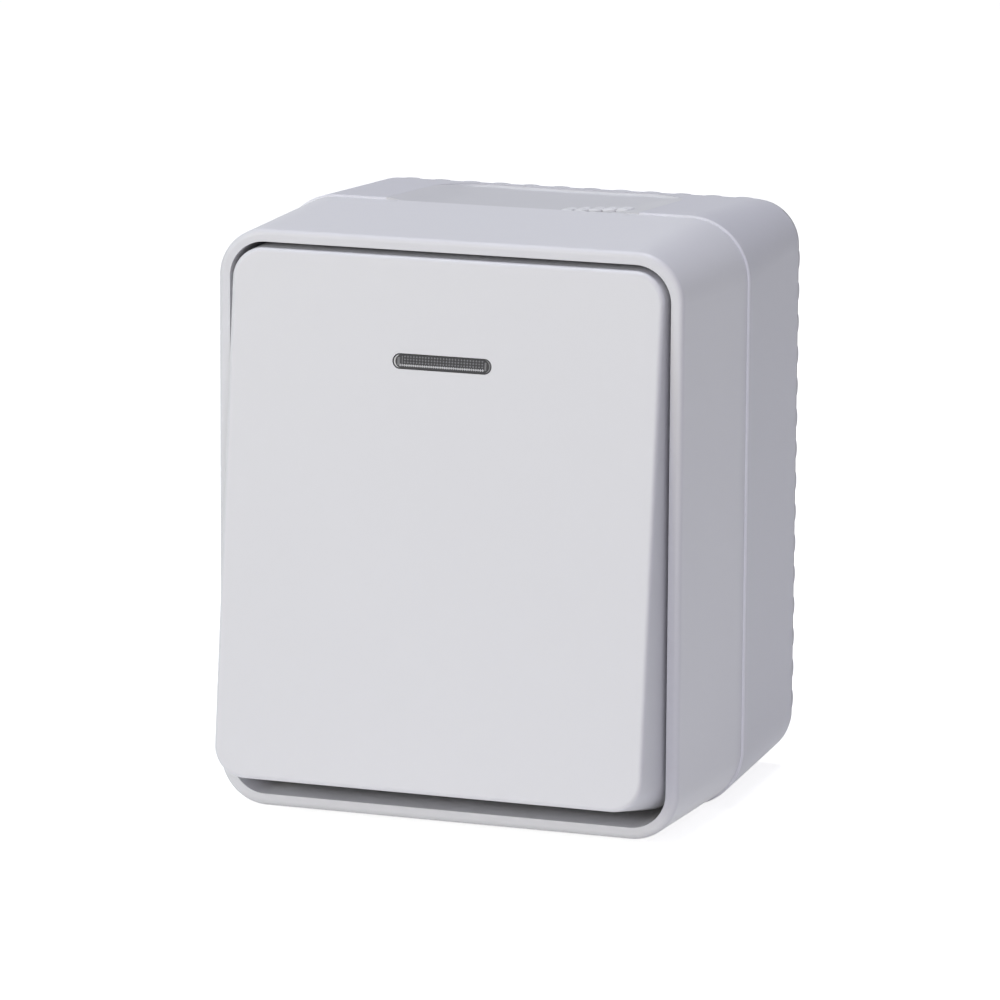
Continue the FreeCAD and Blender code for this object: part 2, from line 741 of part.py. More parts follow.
# Front frame: flared walls, a straight well for the rocker and a web behind it
def make_front_frame():
    body = new_body("front_frame")
    at_seam = front_sketch(body, "frame_at_seam", S.seam_forward)
    rounded_rectangle(at_seam, seam_width, seam_height, S.seam_corner)
    at_rim = front_sketch(body, "frame_at_rim", S.case_depth)
    rounded_rectangle(at_rim, S.rim_width, S.rim_height, S.rim_corner)
    shell = loft(body, at_seam, at_rim)
    rounded(body, shell, S.rim_round, lambda edge: lies_at(edge, S.case_depth))

    well = front_sketch(body, "frame_well", S.case_depth)
    rounded_rectangle(well, well_width, well_height, well_corner)
    pocket(body, well, S.case_depth - web_front)
    slack = S.lip_clearance * 2
    hollow = front_sketch(body, "frame_hollow", S.seam_forward)
    rounded_rectangle(hollow, cavity_width + slack, cavity_height + slack, cavity_corner + S.lip_clearance)
    pocket(body, hollow, S.web_forward - S.seam_forward, reverse=True)

    lip = front_sketch(body, "frame_lip", rebate_floor + S.cover_seal_thickness)
    rounded_rectangle(lip, rebate_width - slack, rebate_height - slack, rebate_corner - S.lip_clearance)
    rounded_rectangle(lip, cavity_width + slack, cavity_height + slack, cavity_corner + S.lip_clearance)
    pad(body, lip, S.rebate_depth - S.cover_seal_thickness)
    bosses = front_sketch(body, "frame_bosses", frame_post_top)
    for side in (-1, 1):
        circle(bosses, post_radius, frame_post_x * side, frame_post_z * side)
    pad(body, bosses, S.web_forward - frame_post_top)

    windows = front_sketch(body, "frame_windows", web_front)
    rectangle(windows, -boot_inner_x, boot_inner_x, -boot_inner_z, boot_inner_z)
    circle(windows, dome_inner, ZERO, lamp_z)
    pocket(body, windows, S.web_thickness)
    screw_holes = front_sketch(body, "frame_screw_holes", web_front)
    for side in (-1, 1):
        circle(screw_holes, S.screw_radius + S.screw_clearance, frame_post_x * side, frame_post_z * side)
    pocket(body, screw_holes, web_front - frame_post_top)


def make_screws():
    frame_screws = [screw(f"frame_screw_{side}", frame_post_x * side, frame_post_z * side, web_front,
                          S.frame_screw_reach, S.screw_radius, screw_head_radius) for side in (-1, 1)]
    keep(group("frame_screws", frame_screws), "frame_screws")
    plate_screws = [screw(f"mechanism_screw_{side}", plate_post_x * side, ZERO, plate_front,
                          S.plate_screw_reach, S.screw_radius, screw_head_radius) for side in (-1, 1)]
    keep(group("mechanism_screws", plate_screws), "mechanism_screws")
    cover_screws = [screw(f"cover_screw_{index}", cover_screw_x * side_x, cover_screw_z * side_z, cover_front,
                          S.cover_screw_reach, S.cover_screw_radius, cover_screw_head)
                    for index, (side_x, side_z) in enumerate(((-1, -1), (1, -1), (-1, 1), (1, 1)))]
    keep(group("cover_screws", cover_screws), "cover_screws")


# Steel plate that the mechanism hangs in
def make_support_plate():
    body = new_body("support_plate")
    outline = front_sketch(body, "plate_outline", S.plate_post_top)
    rounded_rectangle(outline, plate_width, plate_height, S.plate_corner)
    for side in (-1, 1):
        circle(outline, S.screw_radius + S.screw_clearance, plate_post_x * side)
        circle(outline, S.lead_radius + S.screw_clearance, S.lead_x * side, lamp_z)
    half_x, half_z = S.collar_width / 2 + S.collar_clearance, collar_height / 2 + S.collar_clearance
    rectangle(outline, -half_x, half_x, -half_z, half_z)
    pad(body, outline, S.plate_thickness)
    notches = front_sketch(body, "plate_notches", plate_front)
    for side in (-1, 1):
        circle(notches, post_radius + S.plate_notch_gap, frame_post_x * side, frame_post_z * side)
    pocket(body, notches, S.plate_thickness)


# Places of the three terminals: name, height of the chamber's middle, side that its screw comes from
TERMINALS = (("common", ZERO, -1), ("upper", S.contact_z, 1), ("lower", -S.contact_z, 1))
chamber_rear = S.housing_rear + S.chamber_wall
terminal_rear = chamber_rear + S.chamber_clearance
terminal_front = terminal_rear + S.terminal_depth
pocket_floor = terminal_front + S.pocket_floor_gap
terminal_screw_forward = terminal_rear + S.terminal_depth / 2
terminal_screw_end = S.wire_hole_radius + S.terminal_screw_radius / 2


def toward(side, near, far):
    """A span along X on the given side of the middle."""
    return (near, far) if side > 0 else (-far, -near)


def make_mechanism_housing():
    solids = [
        block("housing_block", either_side(housing_width / 2), (S.housing_rear, S.plate_post_top),
              (-housing_bottom, housing_top)),
        block("housing_collar", either_side(S.collar_width / 2), (S.plate_post_top, collar_front),
              either_side(collar_height / 2))]
    hollows = [block("housing_pocket", either_side(S.pocket_width / 2), (pocket_floor, collar_front),
                     either_side(pocket_height / 2))]
    for name, height, side in TERMINALS:
        hollows.append(block(f"{name}_chamber", either_side(chamber_half), (chamber_rear, pocket_floor + 1),
                             around(height, chamber_half)))
        hollows.append(rod(f"{name}_wire_hole", S.wire_hole_radius, (S.housing_rear - 1, chamber_rear + 1),
                           ZERO, height))
        hollows.append(cross_rod(f"{name}_screw_bore", terminal_screw_head + S.screw_clearance,
                                 toward(side, chamber_half - 1, housing_width / 2 + 1),
                                 terminal_screw_forward, height))
    for index, (side_x, side_z) in enumerate(((-1, -1), (1, -1), (-1, 1), (1, 1))):
        hollows.append(rod(f"cover_pilot_{index}", S.cover_screw_radius + S.thread_clearance,
                           (cover_front - S.cover_screw_reach, collar_front + 1),
                           cover_screw_x * side_x, cover_screw_z * side_z))
    for side in (-1, 1):
        hollows.append(rod(f"lamp_socket_{side}", S.lead_radius + S.thread_clearance,
                           (S.plate_post_top - S.lead_reach, S.plate_post_top + 1), S.lead_x * side, lamp_z))
    keep(less("mechanism_housing", joined("housing_solid", solids), hollows), "mechanism_housing")


def make_mechanism_cover():
    slab = block("cover_slab", either_side(S.collar_width / 2), (collar_front, cover_front),
                 either_side(collar_height / 2))
    window = block("cover_window", either_side(ear_inner - S.cover_window_inset),
                   (collar_front - 1, cover_front + 1), either_side(S.hub_half_height + S.hub_rear))
    solids, hollows = [slab], [window]
    for side in (-1, 1):
        span = toward(side, ear_inner, ear_outer)
        solids.append(block(f"ear_{side}", span, (collar_front, S.pivot_forward), either_side(ear_radius)))
        solids.append(cross_rod(f"ear_round_{side}", ear_radius, span, S.pivot_forward))
        hollows.append(cross_rod(f"ear_bore_{side}", S.trunnion_radius + S.trunnion_clearance,
                                 toward(side, ear_inner - 1, ear_outer + 1), S.pivot_forward))
    for index, (side_x, side_z) in enumerate(((-1, -1), (1, -1), (-1, 1), (1, 1))):
        hollows.append(rod(f"cover_hole_{index}", S.cover_screw_radius + S.thread_clearance,
                           (collar_front - 1, cover_front + 1),
                           cover_screw_x * side_x, cover_screw_z * side_z))
    keep(less("mechanism_cover", joined("cover_solid", solids), hollows), "mechanism_cover")


# Brass terminals: the middle one ends in the knife edge, the outer two in a bent strip
def terminal_block(name, height, side):
    solid = block(f"{name}_block", either_side(S.terminal_half), (terminal_rear, terminal_front),
                  around(height, S.terminal_half))
    holes = [rod(f"{name}_wire_bore", S.wire_hole_radius, (terminal_rear - 1, terminal_front + 1),
                 ZERO, height),
             cross_rod(f"{name}_thread", S.terminal_screw_radius + S.thread_clearance,
                       toward(side, ZERO, S.terminal_half + 1), terminal_screw_forward, height)]
    return less(f"{name}_clamp", solid, holes)


def make_common_terminal():
    name, height, side = TERMINALS[0]
    knife = document.addObject("PartDesign::Body", "knife")
    profile = sketch_in(knife, "knife_profile", "YZ_Plane", ZERO)
    edge = S.bridge_forward - S.knife_gap
    shoulder = edge - S.knife_half * S.knife_steepness
    root = terminal_front - S.strip_thickness
    polygon(profile, [(-root, -S.knife_half), (-root, S.knife_half), (-shoulder, S.knife_half),
                      (-edge, ZERO), (-shoulder, -S.knife_half)])
    blade = pad(knife, profile, S.bridge_half_width * 2 - S.strip_thickness)
    blade.Midplane = True
    wire_room = rod("common_wire_room", S.wire_hole_radius, (root - 1, terminal_front))
    knife_edge = less("knife_edge", knife, [wire_room])
    keep(joined("common_terminal", [terminal_block(name, height, side), knife_edge]), "common_terminal")


def make_outer_terminals():
    outer = pocket_height / 2 - S.pocket_clearance
    for name, height, side in TERMINALS[1:]:
        up = 1 if height.value > 0 else -1
        strip_span = toward(up, outer - S.strip_thickness, outer)
        foot_span = toward(up, S.contact_z - S.contact_radius, outer)
        foot_rear = fixed_contact_seat - S.strip_thickness
        width = either_side(S.contact_radius + S.bend_margin)
        strip = block(f"{name}_strip", width, (terminal_front - S.strip_thickness, foot_rear), strip_span)
        foot = block(f"{name}_foot", width, (foot_rear, fixed_contact_seat), foot_span)
        keep(joined(f"{name}_terminal", [terminal_block(name, height, side), strip, foot]), f"{name}_terminal")


def make_terminal_screws():
    screws = []
    for name, height, side in TERMINALS:
        shank_end = terminal_screw_out - S.screw_head_height
        shank = cross_rod(f"{name}_screw_shank", S.terminal_screw_radius,
                          toward(side, terminal_screw_end, shank_end), terminal_screw_forward, height)
        head = cross_rod(f"{name}_screw_head", terminal_screw_head,
                         toward(side, shank_end, terminal_screw_out), terminal_screw_forward, height)
        slot = block(f"{name}_screw_slot", toward(side, terminal_screw_out - S.screw_slot, terminal_screw_out),
                     around(terminal_screw_forward, terminal_screw_head), around(height, S.screw_slot / 2))
        screws.append(less(f"{name}_screw", joined(f"{name}_screw_blank", [shank, head]), [slot]))
    keep(group("terminal_screws", screws), "terminal_screws")


def make_fixed_contacts():
    buttons = [rod(f"fixed_contact_{side}", S.contact_radius, (fixed_contact_seat, fixed_contact_front),
                   ZERO, S.contact_z * side) for side in (-1, 1)]
    keep(group("fixed_contacts", buttons), "fixed_contacts")


# See-saw blade and its contact buttons, drawn about the knife edge
def make_contact_bridge():
    blade = block("bridge_blade", either_side(S.bridge_half_width), (ZERO, S.bridge_thickness),
                  either_side(bridge_half_height))
    keep(about_pivot(group("contact_bridge", [blade]), S.bridge_forward, S.tilt), "contact_bridge")
    buttons = [rod(f"moving_contact_{side}", S.contact_radius, (-S.contact_thickness, ZERO),
                   ZERO, S.contact_z * side) for side in (-1, 1)]
    keep(about_pivot(group("moving_contacts", buttons), S.bridge_forward, S.tilt), "moving_contacts")


# Lever that tilts in the bearing ears, with its trunnions, saddle and plunger sleeve
def make_rocker_cradle():
    solids = [
        block("cradle_hub", either_side(hub_half_width), (-S.hub_rear, S.hub_front),
              either_side(S.hub_half_height)),
        block("cradle_neck", either_side(neck_half_width), (S.hub_front, S.saddle_rear),
              either_side(S.hub_half_height)),
        block("cradle_saddle", either_side(saddle_half_width), (S.saddle_rear, saddle_front),
              either_side(S.saddle_half_height)),
        block("cradle_sleeve", either_side(sleeve_half), (-S.sleeve_reach, -S.hub_rear),
              either_side(sleeve_half)),
        cross_rod("cradle_trunnions", S.trunnion_radius, either_side(trunnion_end), ZERO)]
    bore = rod("cradle_bore", S.plunger_radius + S.plunger_clearance, (-S.sleeve_reach - 1, -S.bore_end))
    cradle = less("rocker_cradle", joined("cradle_solid", solids), [bore])
    keep(about_pivot(cradle, S.pivot_forward, -S.tilt), "rocker_cradle")


def make_plunger():
    solids = [rod("plunger_shaft", S.plunger_radius, (-S.plunger_shoulder, -S.plunger_back)),
              rod("plunger_nose", S.nose_radius, (-nose_centre, -S.plunger_shoulder)),
              ball("plunger_tip", S.nose_radius, -nose_centre)]
    keep(about_pivot(joined("plunger", solids), S.pivot_forward, -S.tilt), "plunger")


def make_plunger_spring():
    body = new_body("plunger_spring")
    wire = sketch_in(body, "spring_wire_section", "YZ_Plane", ZERO)
    front = -S.bore_end - S.spring_wire
    length = S.plunger_back - S.bore_end - S.spring_wire * 2
    circle(wire, S.spring_wire / 2, -front, spring_radius)
    coil = body.newObject("PartDesign::AdditiveHelix", "spring_coil")
    coil.Profile = wire
    coil.ReferenceAxis = (wire, ["H_Axis"])
    coil.Mode = "height-turns-angle"
    coil.setExpression("Height", length.formula)
    coil.setExpression("Turns", S.spring_turns.formula)
    about_pivot(body, S.pivot_forward, -S.tilt)


# Soft boot over the bearing, with a closed dome for the lamp
def make_rocker_seal():
    body = new_body("rocker_seal")
    bottom = -boot_half_height - S.boot_margin
    top = lamp_z + dome_outer + S.boot_margin
    flange = front_sketch(body, "seal_flange", web_front)
    rounded_rectangle(flange, (boot_half_width + S.boot_margin) * 2, top - bottom, S.boot_margin,
                      ZERO, (top + bottom) / 2)
    pad(body, flange, S.boot_flange)
    flange_front = web_front + S.boot_flange
    walls = front_sketch(body, "seal_walls", flange_front)
    rounded_rectangle(walls, boot_half_width * 2, boot_half_height * 2, S.boot_wall * 2)
    circle(walls, dome_outer, ZERO, lamp_z)
    pad(body, walls, boot_roof - flange_front)
    inside = front_sketch(body, "seal_inside", web_front)
    rectangle(inside, *either_side(boot_inner_x), *either_side(boot_inner_z))
    circle(inside, dome_inner, ZERO, lamp_z)
    pocket(body, inside, boot_roof - S.boot_wall - web_front, reverse=True)
    opening = front_sketch(body, "seal_opening", boot_roof)
    rectangle(opening, *either_side(neck_half_width + S.boot_opening_x),
              *either_side(S.hub_half_height + S.boot_opening_z))
    pocket(body, opening, S.boot_wall + S.boot_wall)


# Indicator lamp, its plug-in holder and its two pins
lamp_rear = plate_front + S.lamp_socket_floor + S.lamp_seat


def make_lamp():
    holder = block("holder_block", either_side(S.lamp_holder_half),
                   (plate_front, plate_front + S.lamp_holder_depth), around(lamp_z, S.lamp_holder_half))
    holes = [rod("holder_socket", S.lamp_radius + S.lamp_seat,
                 (plate_front + S.lamp_socket_floor, plate_front + S.lamp_holder_depth + 1), ZERO, lamp_z)]
    for side in (-1, 1):
        holes.append(rod(f"holder_pin_hole_{side}", S.lead_radius + S.thread_clearance,
                         (plate_front - 1, plate_front + S.lamp_socket_floor + 1), S.lead_x * side, lamp_z))
    keep(less("lamp_holder", holder, holes), "lamp_holder")
    dome_centre = lamp_tip - S.lamp_radius
    glass = joined("indicator_lamp", [rod("lamp_tube", S.lamp_radius, (lamp_rear, dome_centre), ZERO, lamp_z),
                                      ball("lamp_dome", S.lamp_radius, dome_centre, ZERO, lamp_z)])
    keep(glass, "indicator_lamp")
    pin_rear = S.plate_post_top - S.lead_reach + S.lamp_seat
    pins = [rod(f"lamp_pin_{side}", S.lead_radius, (pin_rear, lamp_rear), S.lead_x * side, lamp_z)
            for side in (-1, 1)]
    keep(group("lamp_leads", pins), "lamp_leads")


# Rocker: a capped shell that narrows to its face, with clip rails for the cradle's saddle and the
# window slot
def make_rocker_plate():
    body = new_body("rocker_plate")
    wall_rear = S.rocker_front - S.rocker_depth
    outline = front_sketch(body, "rocker_outline", wall_rear)
    rounded_rectangle(outline, rocker_width, rocker_height, rocker_corner)
    face = front_sketch(body, "rocker_face", S.rocker_front)
    rounded_rectangle(face, rocker_face_width, rocker_face_height, S.rocker_face_corner, ZERO, -S.rocker_face_drop)
    cap = loft(body, outline, face)
    front_round = rounded(body, cap, S.rocker_round, lambda edge: lies_at(edge, S.rocker_front))
    rounded(body, front_round, S.rocker_rear_round, lambda edge: lies_at(edge, wall_rear))
    hollow = front_sketch(body, "rocker_hollow", wall_rear)
    rounded_rectangle(hollow, rocker_face_width - S.rocker_wall * 2, rocker_face_height - S.rocker_wall * 2,
                      S.rocker_face_corner - S.rocker_wall)
    pocket(body, hollow, rocker_back - wall_rear, reverse=True)

    slot = front_sketch(body, "rocker_slot", S.rocker_front)
    stadium(slot, S.lens_length, S.lens_height, lens_z)
    pocket(body, slot, S.rocker_plate_thickness)
    hook_front = S.saddle_rear - S.clip_play
    rail_inner = saddle_half_width + S.clip_gap
    rails = front_sketch(body, "rocker_rails", rocker_back)
    hooks = front_sketch(body, "rocker_hooks", hook_front)
    ribs = front_sketch(body, "rocker_ribs", rocker_back)
    for side in (-1, 1):
        rectangle(rails, *toward(side, rail_inner, rail_inner + S.clip_wall),
                  *either_side(S.saddle_half_height))
        rectangle(hooks, *toward(side, saddle_half_width - S.clip_hook, rail_inner),
                  *either_side(S.saddle_half_height))
        rectangle(ribs, *around(rib_x * side, S.rib_width / 2), *either_side(S.saddle_half_height))
    pad(body, rails, rocker_back - hook_front + S.clip_hook_height, reverse=True)
    pad(body, hooks, S.clip_hook_height, reverse=True)
    pad(body, ribs, rocker_back - saddle_front, reverse=True)
    about_pivot(body, S.pivot_forward, -S.tilt)


def make_indicator_lens():
    body = new_body("indicator_lens")
    flange_rear = rocker_back - S.lens_flange
    guide = front_sketch(body, "lens_guide", S.guide_rear)
    rectangle(guide, *either_side(S.guide_half_width), *around(lens_z, S.guide_half_height))
    pad(body, guide, flange_rear - S.guide_rear)
    flange = front_sketch(body, "lens_flange", flange_rear)
    margin = S.lens_flange_margin * 2
    stadium(flange, S.lens_length + margin, S.lens_height + margin, lens_z)
    pad(body, flange, S.lens_flange)
    window = front_sketch(body, "lens_window", rocker_back)
    slack = S.lens_clearance * 2
    stadium(window, S.lens_length - slack, S.lens_height - slack, lens_z)
    pad(body, window, S.rocker_plate_thickness - S.lens_sink)
    about_pivot(body, S.pivot_forward, -S.tilt)


make_rear_base()
make_wall_seal()
make_cable_entry_membrane()
make_cover_seal()
make_front_frame()
make_screws()
make_support_plate()
make_mechanism_housing()
make_mechanism_cover()
make_common_terminal()
make_outer_terminals()
make_terminal_screws()
make_fixed_contacts()
make_contact_bridge()
make_rocker_cradle()
make_plunger()
make_plunger_spring()
make_rocker_seal()
make_lamp()
make_rocker_plate()
make_indicator_lens()
document.recompute()

# Nothing is written unless every object is sound and every pocket has cut something away
faults = []
for piece in document.Objects:
    if "Invalid" in piece.State or "Error" in piece.State:
        faults.append(f"{piece.Name} failed: {piece.State}")
    if piece.TypeId == "PartDesign::Pocket" and piece.Shape.Volume > piece.BaseFeature.Shape.Volume - 1e-6:
        faults.append(f"{piece.Name} cuts nothing")
for piece in nodes:
    if piece.Shape.isNull() or not piece.Shape.isValid() or not piece.Shape.Solids:
        faults.append(f"{piece.Label} has no sound solid")
if faults:
    raise RuntimeError("; ".join(faults))

os.makedirs("parts", exist_ok=True)
for piece in nodes:
    piece.Shape.exportStep(f"parts/{piece.Label}.step")
    box = piece.Shape.BoundBox
    print(f"{piece.Label:22s} {len(piece.Shape.Solids)} solid(s) {piece.Shape.Volume:10.1f} mm3  "
          f"X {box.XMin:.1f} {box.XMax:.1f}  Y {box.YMin:.1f} {box.YMax:.1f}  Z {box.ZMin:.1f} {box.ZMax:.1f}")
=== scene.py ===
import json
import math

import bmesh
import bpy
from mathutils import Matrix, Vector


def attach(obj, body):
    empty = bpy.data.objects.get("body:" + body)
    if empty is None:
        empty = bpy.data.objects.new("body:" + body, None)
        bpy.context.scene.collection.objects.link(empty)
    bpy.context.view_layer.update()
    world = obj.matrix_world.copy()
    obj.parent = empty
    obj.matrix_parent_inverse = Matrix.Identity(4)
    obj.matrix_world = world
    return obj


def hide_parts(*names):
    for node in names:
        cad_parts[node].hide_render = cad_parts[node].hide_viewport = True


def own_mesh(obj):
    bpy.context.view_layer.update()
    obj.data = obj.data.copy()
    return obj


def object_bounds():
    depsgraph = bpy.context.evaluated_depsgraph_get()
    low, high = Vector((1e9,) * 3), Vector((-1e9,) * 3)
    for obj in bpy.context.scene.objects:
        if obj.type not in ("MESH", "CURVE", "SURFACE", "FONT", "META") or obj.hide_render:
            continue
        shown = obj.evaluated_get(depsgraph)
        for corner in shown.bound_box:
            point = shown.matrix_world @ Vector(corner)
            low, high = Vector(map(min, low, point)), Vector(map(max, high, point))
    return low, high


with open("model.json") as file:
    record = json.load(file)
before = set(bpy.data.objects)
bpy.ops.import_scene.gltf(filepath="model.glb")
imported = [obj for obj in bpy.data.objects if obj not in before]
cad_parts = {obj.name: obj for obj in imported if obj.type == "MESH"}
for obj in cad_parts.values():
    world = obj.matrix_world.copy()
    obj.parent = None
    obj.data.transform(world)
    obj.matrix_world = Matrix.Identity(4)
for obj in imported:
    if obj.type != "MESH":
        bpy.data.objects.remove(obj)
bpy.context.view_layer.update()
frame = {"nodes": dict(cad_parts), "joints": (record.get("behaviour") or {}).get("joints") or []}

# Surface-mounted weatherproof rocker switch. X runs to the right, Y into the wall and Z up,
# with the origin in the middle of the back. "Forward" is the distance from the wall, minus Y.
MM = 0.001
MICRON = 0.000001

# Sizes that the soft pieces share with the case, and those of the lip's bumps, in millimetres
REAR_WIDTH, REAR_HEIGHT, REAR_CORNER = 74.5, 90.2, 7.2
SEAM_FORWARD, SEAM_HALF_HEIGHT = 32.0, 46.75
LIP_WIDTH, LIP_THICKNESS = 2.2, 1.5
BUMP_PITCH, BUMP_PROUD = 5.1, 0.09
ENTRY_HALF_WIDTH, ENTRY_REAR, ENTRY_CORNER, ENTRY_BOTTOM = 20.8, 3.4, 8.0, 42.35
REBATE_FORWARD, REBATE_TOP = 28.8, 44.15

# The window's middle and front from the rocker's pivot, and the centre of its round ends from its middle
WINDOW_Z, WINDOW_FRONT, WINDOW_END_CENTRE = 24.83, 19.7, 6.775

# The lamps face a point this far from the wall
LIT_FORWARD = 30.0

# The rocker's resting turn about its pivot, half of its travel
tilt_joint = next(joint for joint in frame["joints"] if joint["name"] == "rocker_tilt")
rocker_place = Matrix.Translation(tilt_joint["pos_m"]) @ Matrix.Rotation(
    -math.radians(tilt_joint["range_deg"][1] / 2), 4, "X")


# Camera, at the angle of the photograph
def place_camera():
    azimuth, elevation, roll = math.radians(19.57), math.radians(11.34), math.radians(0.36)
    target, distance = Vector((-0.286, -35.8, 0.64)) * MM, 994.5 * MM
    back = Vector((math.sin(azimuth) * math.cos(elevation), -math.cos(azimuth) * math.cos(elevation),
                   math.sin(elevation)))
    level_right = Vector((math.cos(azimuth), math.sin(azimuth), 0))
    level_up = back.cross(level_right)
    right = level_right * math.cos(roll) + level_up * math.sin(roll)
    up = level_up * math.cos(roll) - level_right * math.sin(roll)
    lens = bpy.data.cameras.new("camera")
    lens.lens, lens.sensor_width = 229.06, 36
    lens.clip_start, lens.clip_end = 0.05, 20
    camera = bpy.data.objects.new("camera", lens)
    turned = Matrix((right, up, back)).transposed().to_4x4()
    camera.matrix_world = Matrix.Translation(target + back * distance) @ turned
    bpy.context.scene.collection.objects.link(camera)
    bpy.context.scene.camera = camera


place_camera()


# Shader node groups
def add(tree, kind, at=(0, 0), **values):
    node = tree.nodes.new(kind)
    node.location = at
    for key, value in values.items():
        setattr(node, key, value)
    return node


def new_group(name, inputs, outputs):
    tree = bpy.data.node_groups.new(name, "ShaderNodeTree")
    kinds = {"vector": "NodeSocketVector", "colour": "NodeSocketColor", "number": "NodeSocketFloat"}
    for label, kind, default in inputs:
        socket = tree.interface.new_socket(label, in_out="INPUT", socket_type=kinds[kind])
        if default is not None:
            socket.default_value = default
    for label, kind in outputs:
        tree.interface.new_socket(label, in_out="OUTPUT", socket_type=kinds[kind])
    return tree, add(tree, "NodeGroupInput", (-800, 0)), add(tree, "NodeGroupOutput", (800, 0))


def shaded(tree, colour, share, amount):
    """Darken a colour by a share of itself where the mask says so."""
    dark = add(tree, "ShaderNodeMix", (200, 200), data_type="RGBA", blend_type="MULTIPLY")
    weight = add(tree, "ShaderNodeMath", (0, 200), operation="MULTIPLY")
    tree.links.new(share, weight.inputs[0])
    tree.links.new(amount, weight.inputs[1])
    tree.links.new(weight.outputs[0], dark.inputs["Factor"])
    tree.links.new(colour, dark.inputs["A"])
    dark.inputs["B"].default_value = (0, 0, 0, 1)
    return dark.outputs["Result"]


def spread_about(tree, middle, spread, pattern):
    """Middle plus the pattern's departure from one half, times the spread."""
    centred = add(tree, "ShaderNodeMath", (0, -200), operation="SUBTRACT")
    centred.inputs[1].default_value = 0.5
    wide = add(tree, "ShaderNodeMath", (200, -200), operation="MULTIPLY_ADD")
    tree.links.new(pattern, centred.inputs[0])
    tree.links.new(centred.outputs[0], wide.inputs[0])
    tree.links.new(spread, wide.inputs[1])
    tree.links.new(middle, wide.inputs[2])
    return wide.outputs[0]


def moulded_surface_group():
    """Moulded plastic or rubber: slow clouds in the shade and a fine spark-eroded grain."""
    tree, given, made = new_group(
        "moulded_surface",
        [("Vector", "vector", None), ("Colour", "colour", None), ("Cloud Shade", "number", 0.03),
         ("Cloud Scale", "number", 40.0), ("Grain Scale", "number", 5000.0), ("Roughness", "number", 0.4),
         ("Roughness Spread", "number", 0.1)],
        [("Colour", "colour"), ("Roughness", "number"), ("Height", "number")])
    cloud = add(tree, "ShaderNodeTexNoise", (-400, 200))
    cloud.inputs["Detail"].default_value = 4
    grain = add(tree, "ShaderNodeTexNoise", (-400, -200))
    grain.inputs["Detail"].default_value = 2
    for texture, scale in ((cloud, "Cloud Scale"), (grain, "Grain Scale")):
        tree.links.new(given.outputs["Vector"], texture.inputs["Vector"])
        tree.links.new(given.outputs[scale], texture.inputs["Scale"])
    tree.links.new(shaded(tree, given.outputs["Colour"], cloud.outputs["Fac"], given.outputs["Cloud Shade"]),
                   made.inputs["Colour"])
    tree.links.new(spread_about(tree, given.outputs["Roughness"], given.outputs["Roughness Spread"],
                                grain.outputs["Fac"]), made.inputs["Roughness"])
    tree.links.new(grain.outputs["Fac"], made.inputs["Height"])
    return tree


def rolled_metal_group():
    """Sheet or wire: streaks along one axis, with duller patches."""
    tree, given, made = new_group(
        "rolled_metal",
        [("Vector", "vector", None), ("Colour", "colour", None), ("Streak Scale", "vector", (300, 300, 6000)),
         ("Patch Scale", "number", 300.0), ("Shade", "number", 0.2), ("Roughness", "number", 0.3),
         ("Roughness Spread", "number", 0.2)],
        [("Colour", "colour"), ("Roughness", "number"), ("Height", "number")])
    stretched = add(tree, "ShaderNodeVectorMath", (-600, -200), operation="MULTIPLY")
    tree.links.new(given.outputs["Vector"], stretched.inputs[0])
    tree.links.new(given.outputs["Streak Scale"], stretched.inputs[1])
    streak = add(tree, "ShaderNodeTexNoise", (-400, -200))
    streak.inputs["Scale"].default_value = 1
    streak.inputs["Detail"].default_value = 3
    tree.links.new(stretched.outputs[0], streak.inputs["Vector"])
    patch = add(tree, "ShaderNodeTexVoronoi", (-400, 200))
    tree.links.new(given.outputs["Vector"], patch.inputs["Vector"])
    tree.links.new(given.outputs["Patch Scale"], patch.inputs["Scale"])
    tone = add(tree, "ShaderNodeSeparateColor", (-200, 200))
    tree.links.new(patch.outputs["Color"], tone.inputs[0])
    tree.links.new(shaded(tree, given.outputs["Colour"], tone.outputs[0], given.outputs["Shade"]),
                   made.inputs["Colour"])
    tree.links.new(spread_about(tree, given.outputs["Roughness"], given.outputs["Roughness Spread"],
                                streak.outputs["Fac"]), made.inputs["Roughness"])
    tree.links.new(streak.outputs["Fac"], made.inputs["Height"])
    return tree


moulded_surface = moulded_surface_group()
rolled_metal = rolled_metal_group()


# Materials
def finish_material(name, group, colour, relief_microns, sockets, **group_values):
    """A material whose colour, roughness and fine relief come from the node group."""
    material = bpy.data.materials.new(name)
    material.use_nodes = True
    tree = material.node_tree
    shader = tree.nodes["Principled BSDF"]
    for label, value in sockets.items():
        shader.inputs[label].default_value = value
    place = add(tree, "ShaderNodeTexCoord", (-900, 0))
    effect = add(tree, "ShaderNodeGroup", (-600, 0), node_tree=group)
    effect.inputs["Colour"].default_value = (*colour, 1)
    for label, value in group_values.items():
        effect.inputs[label.replace("_", " ")].default_value = value
    relief = add(tree, "ShaderNodeBump", (-300, -300))
    relief.inputs["Strength"].default_value = 1
    relief.inputs["Distance"].default_value = relief_microns * MICRON
    tree.links.new(place.outputs["Object"], effect.inputs["Vector"])
    tree.links.new(effect.outputs["Colour"], shader.inputs["Base Color"])
    tree.links.new(effect.outputs["Roughness"], shader.inputs["Roughness"])
    tree.links.new(effect.outputs["Height"], relief.inputs["Height"])
    tree.links.new(relief.outputs["Normal"], shader.inputs["Normal"])
    return material


def moulded(name, colour, relief_microns, sockets=None, **values):
    return finish_material(name, moulded_surface, colour, relief_microns, sockets or {}, **values)


def metal(name, colour, relief_microns, **values):
    return finish_material(name, rolled_metal, colour, relief_microns, {"Metallic": 1.0}, **values)


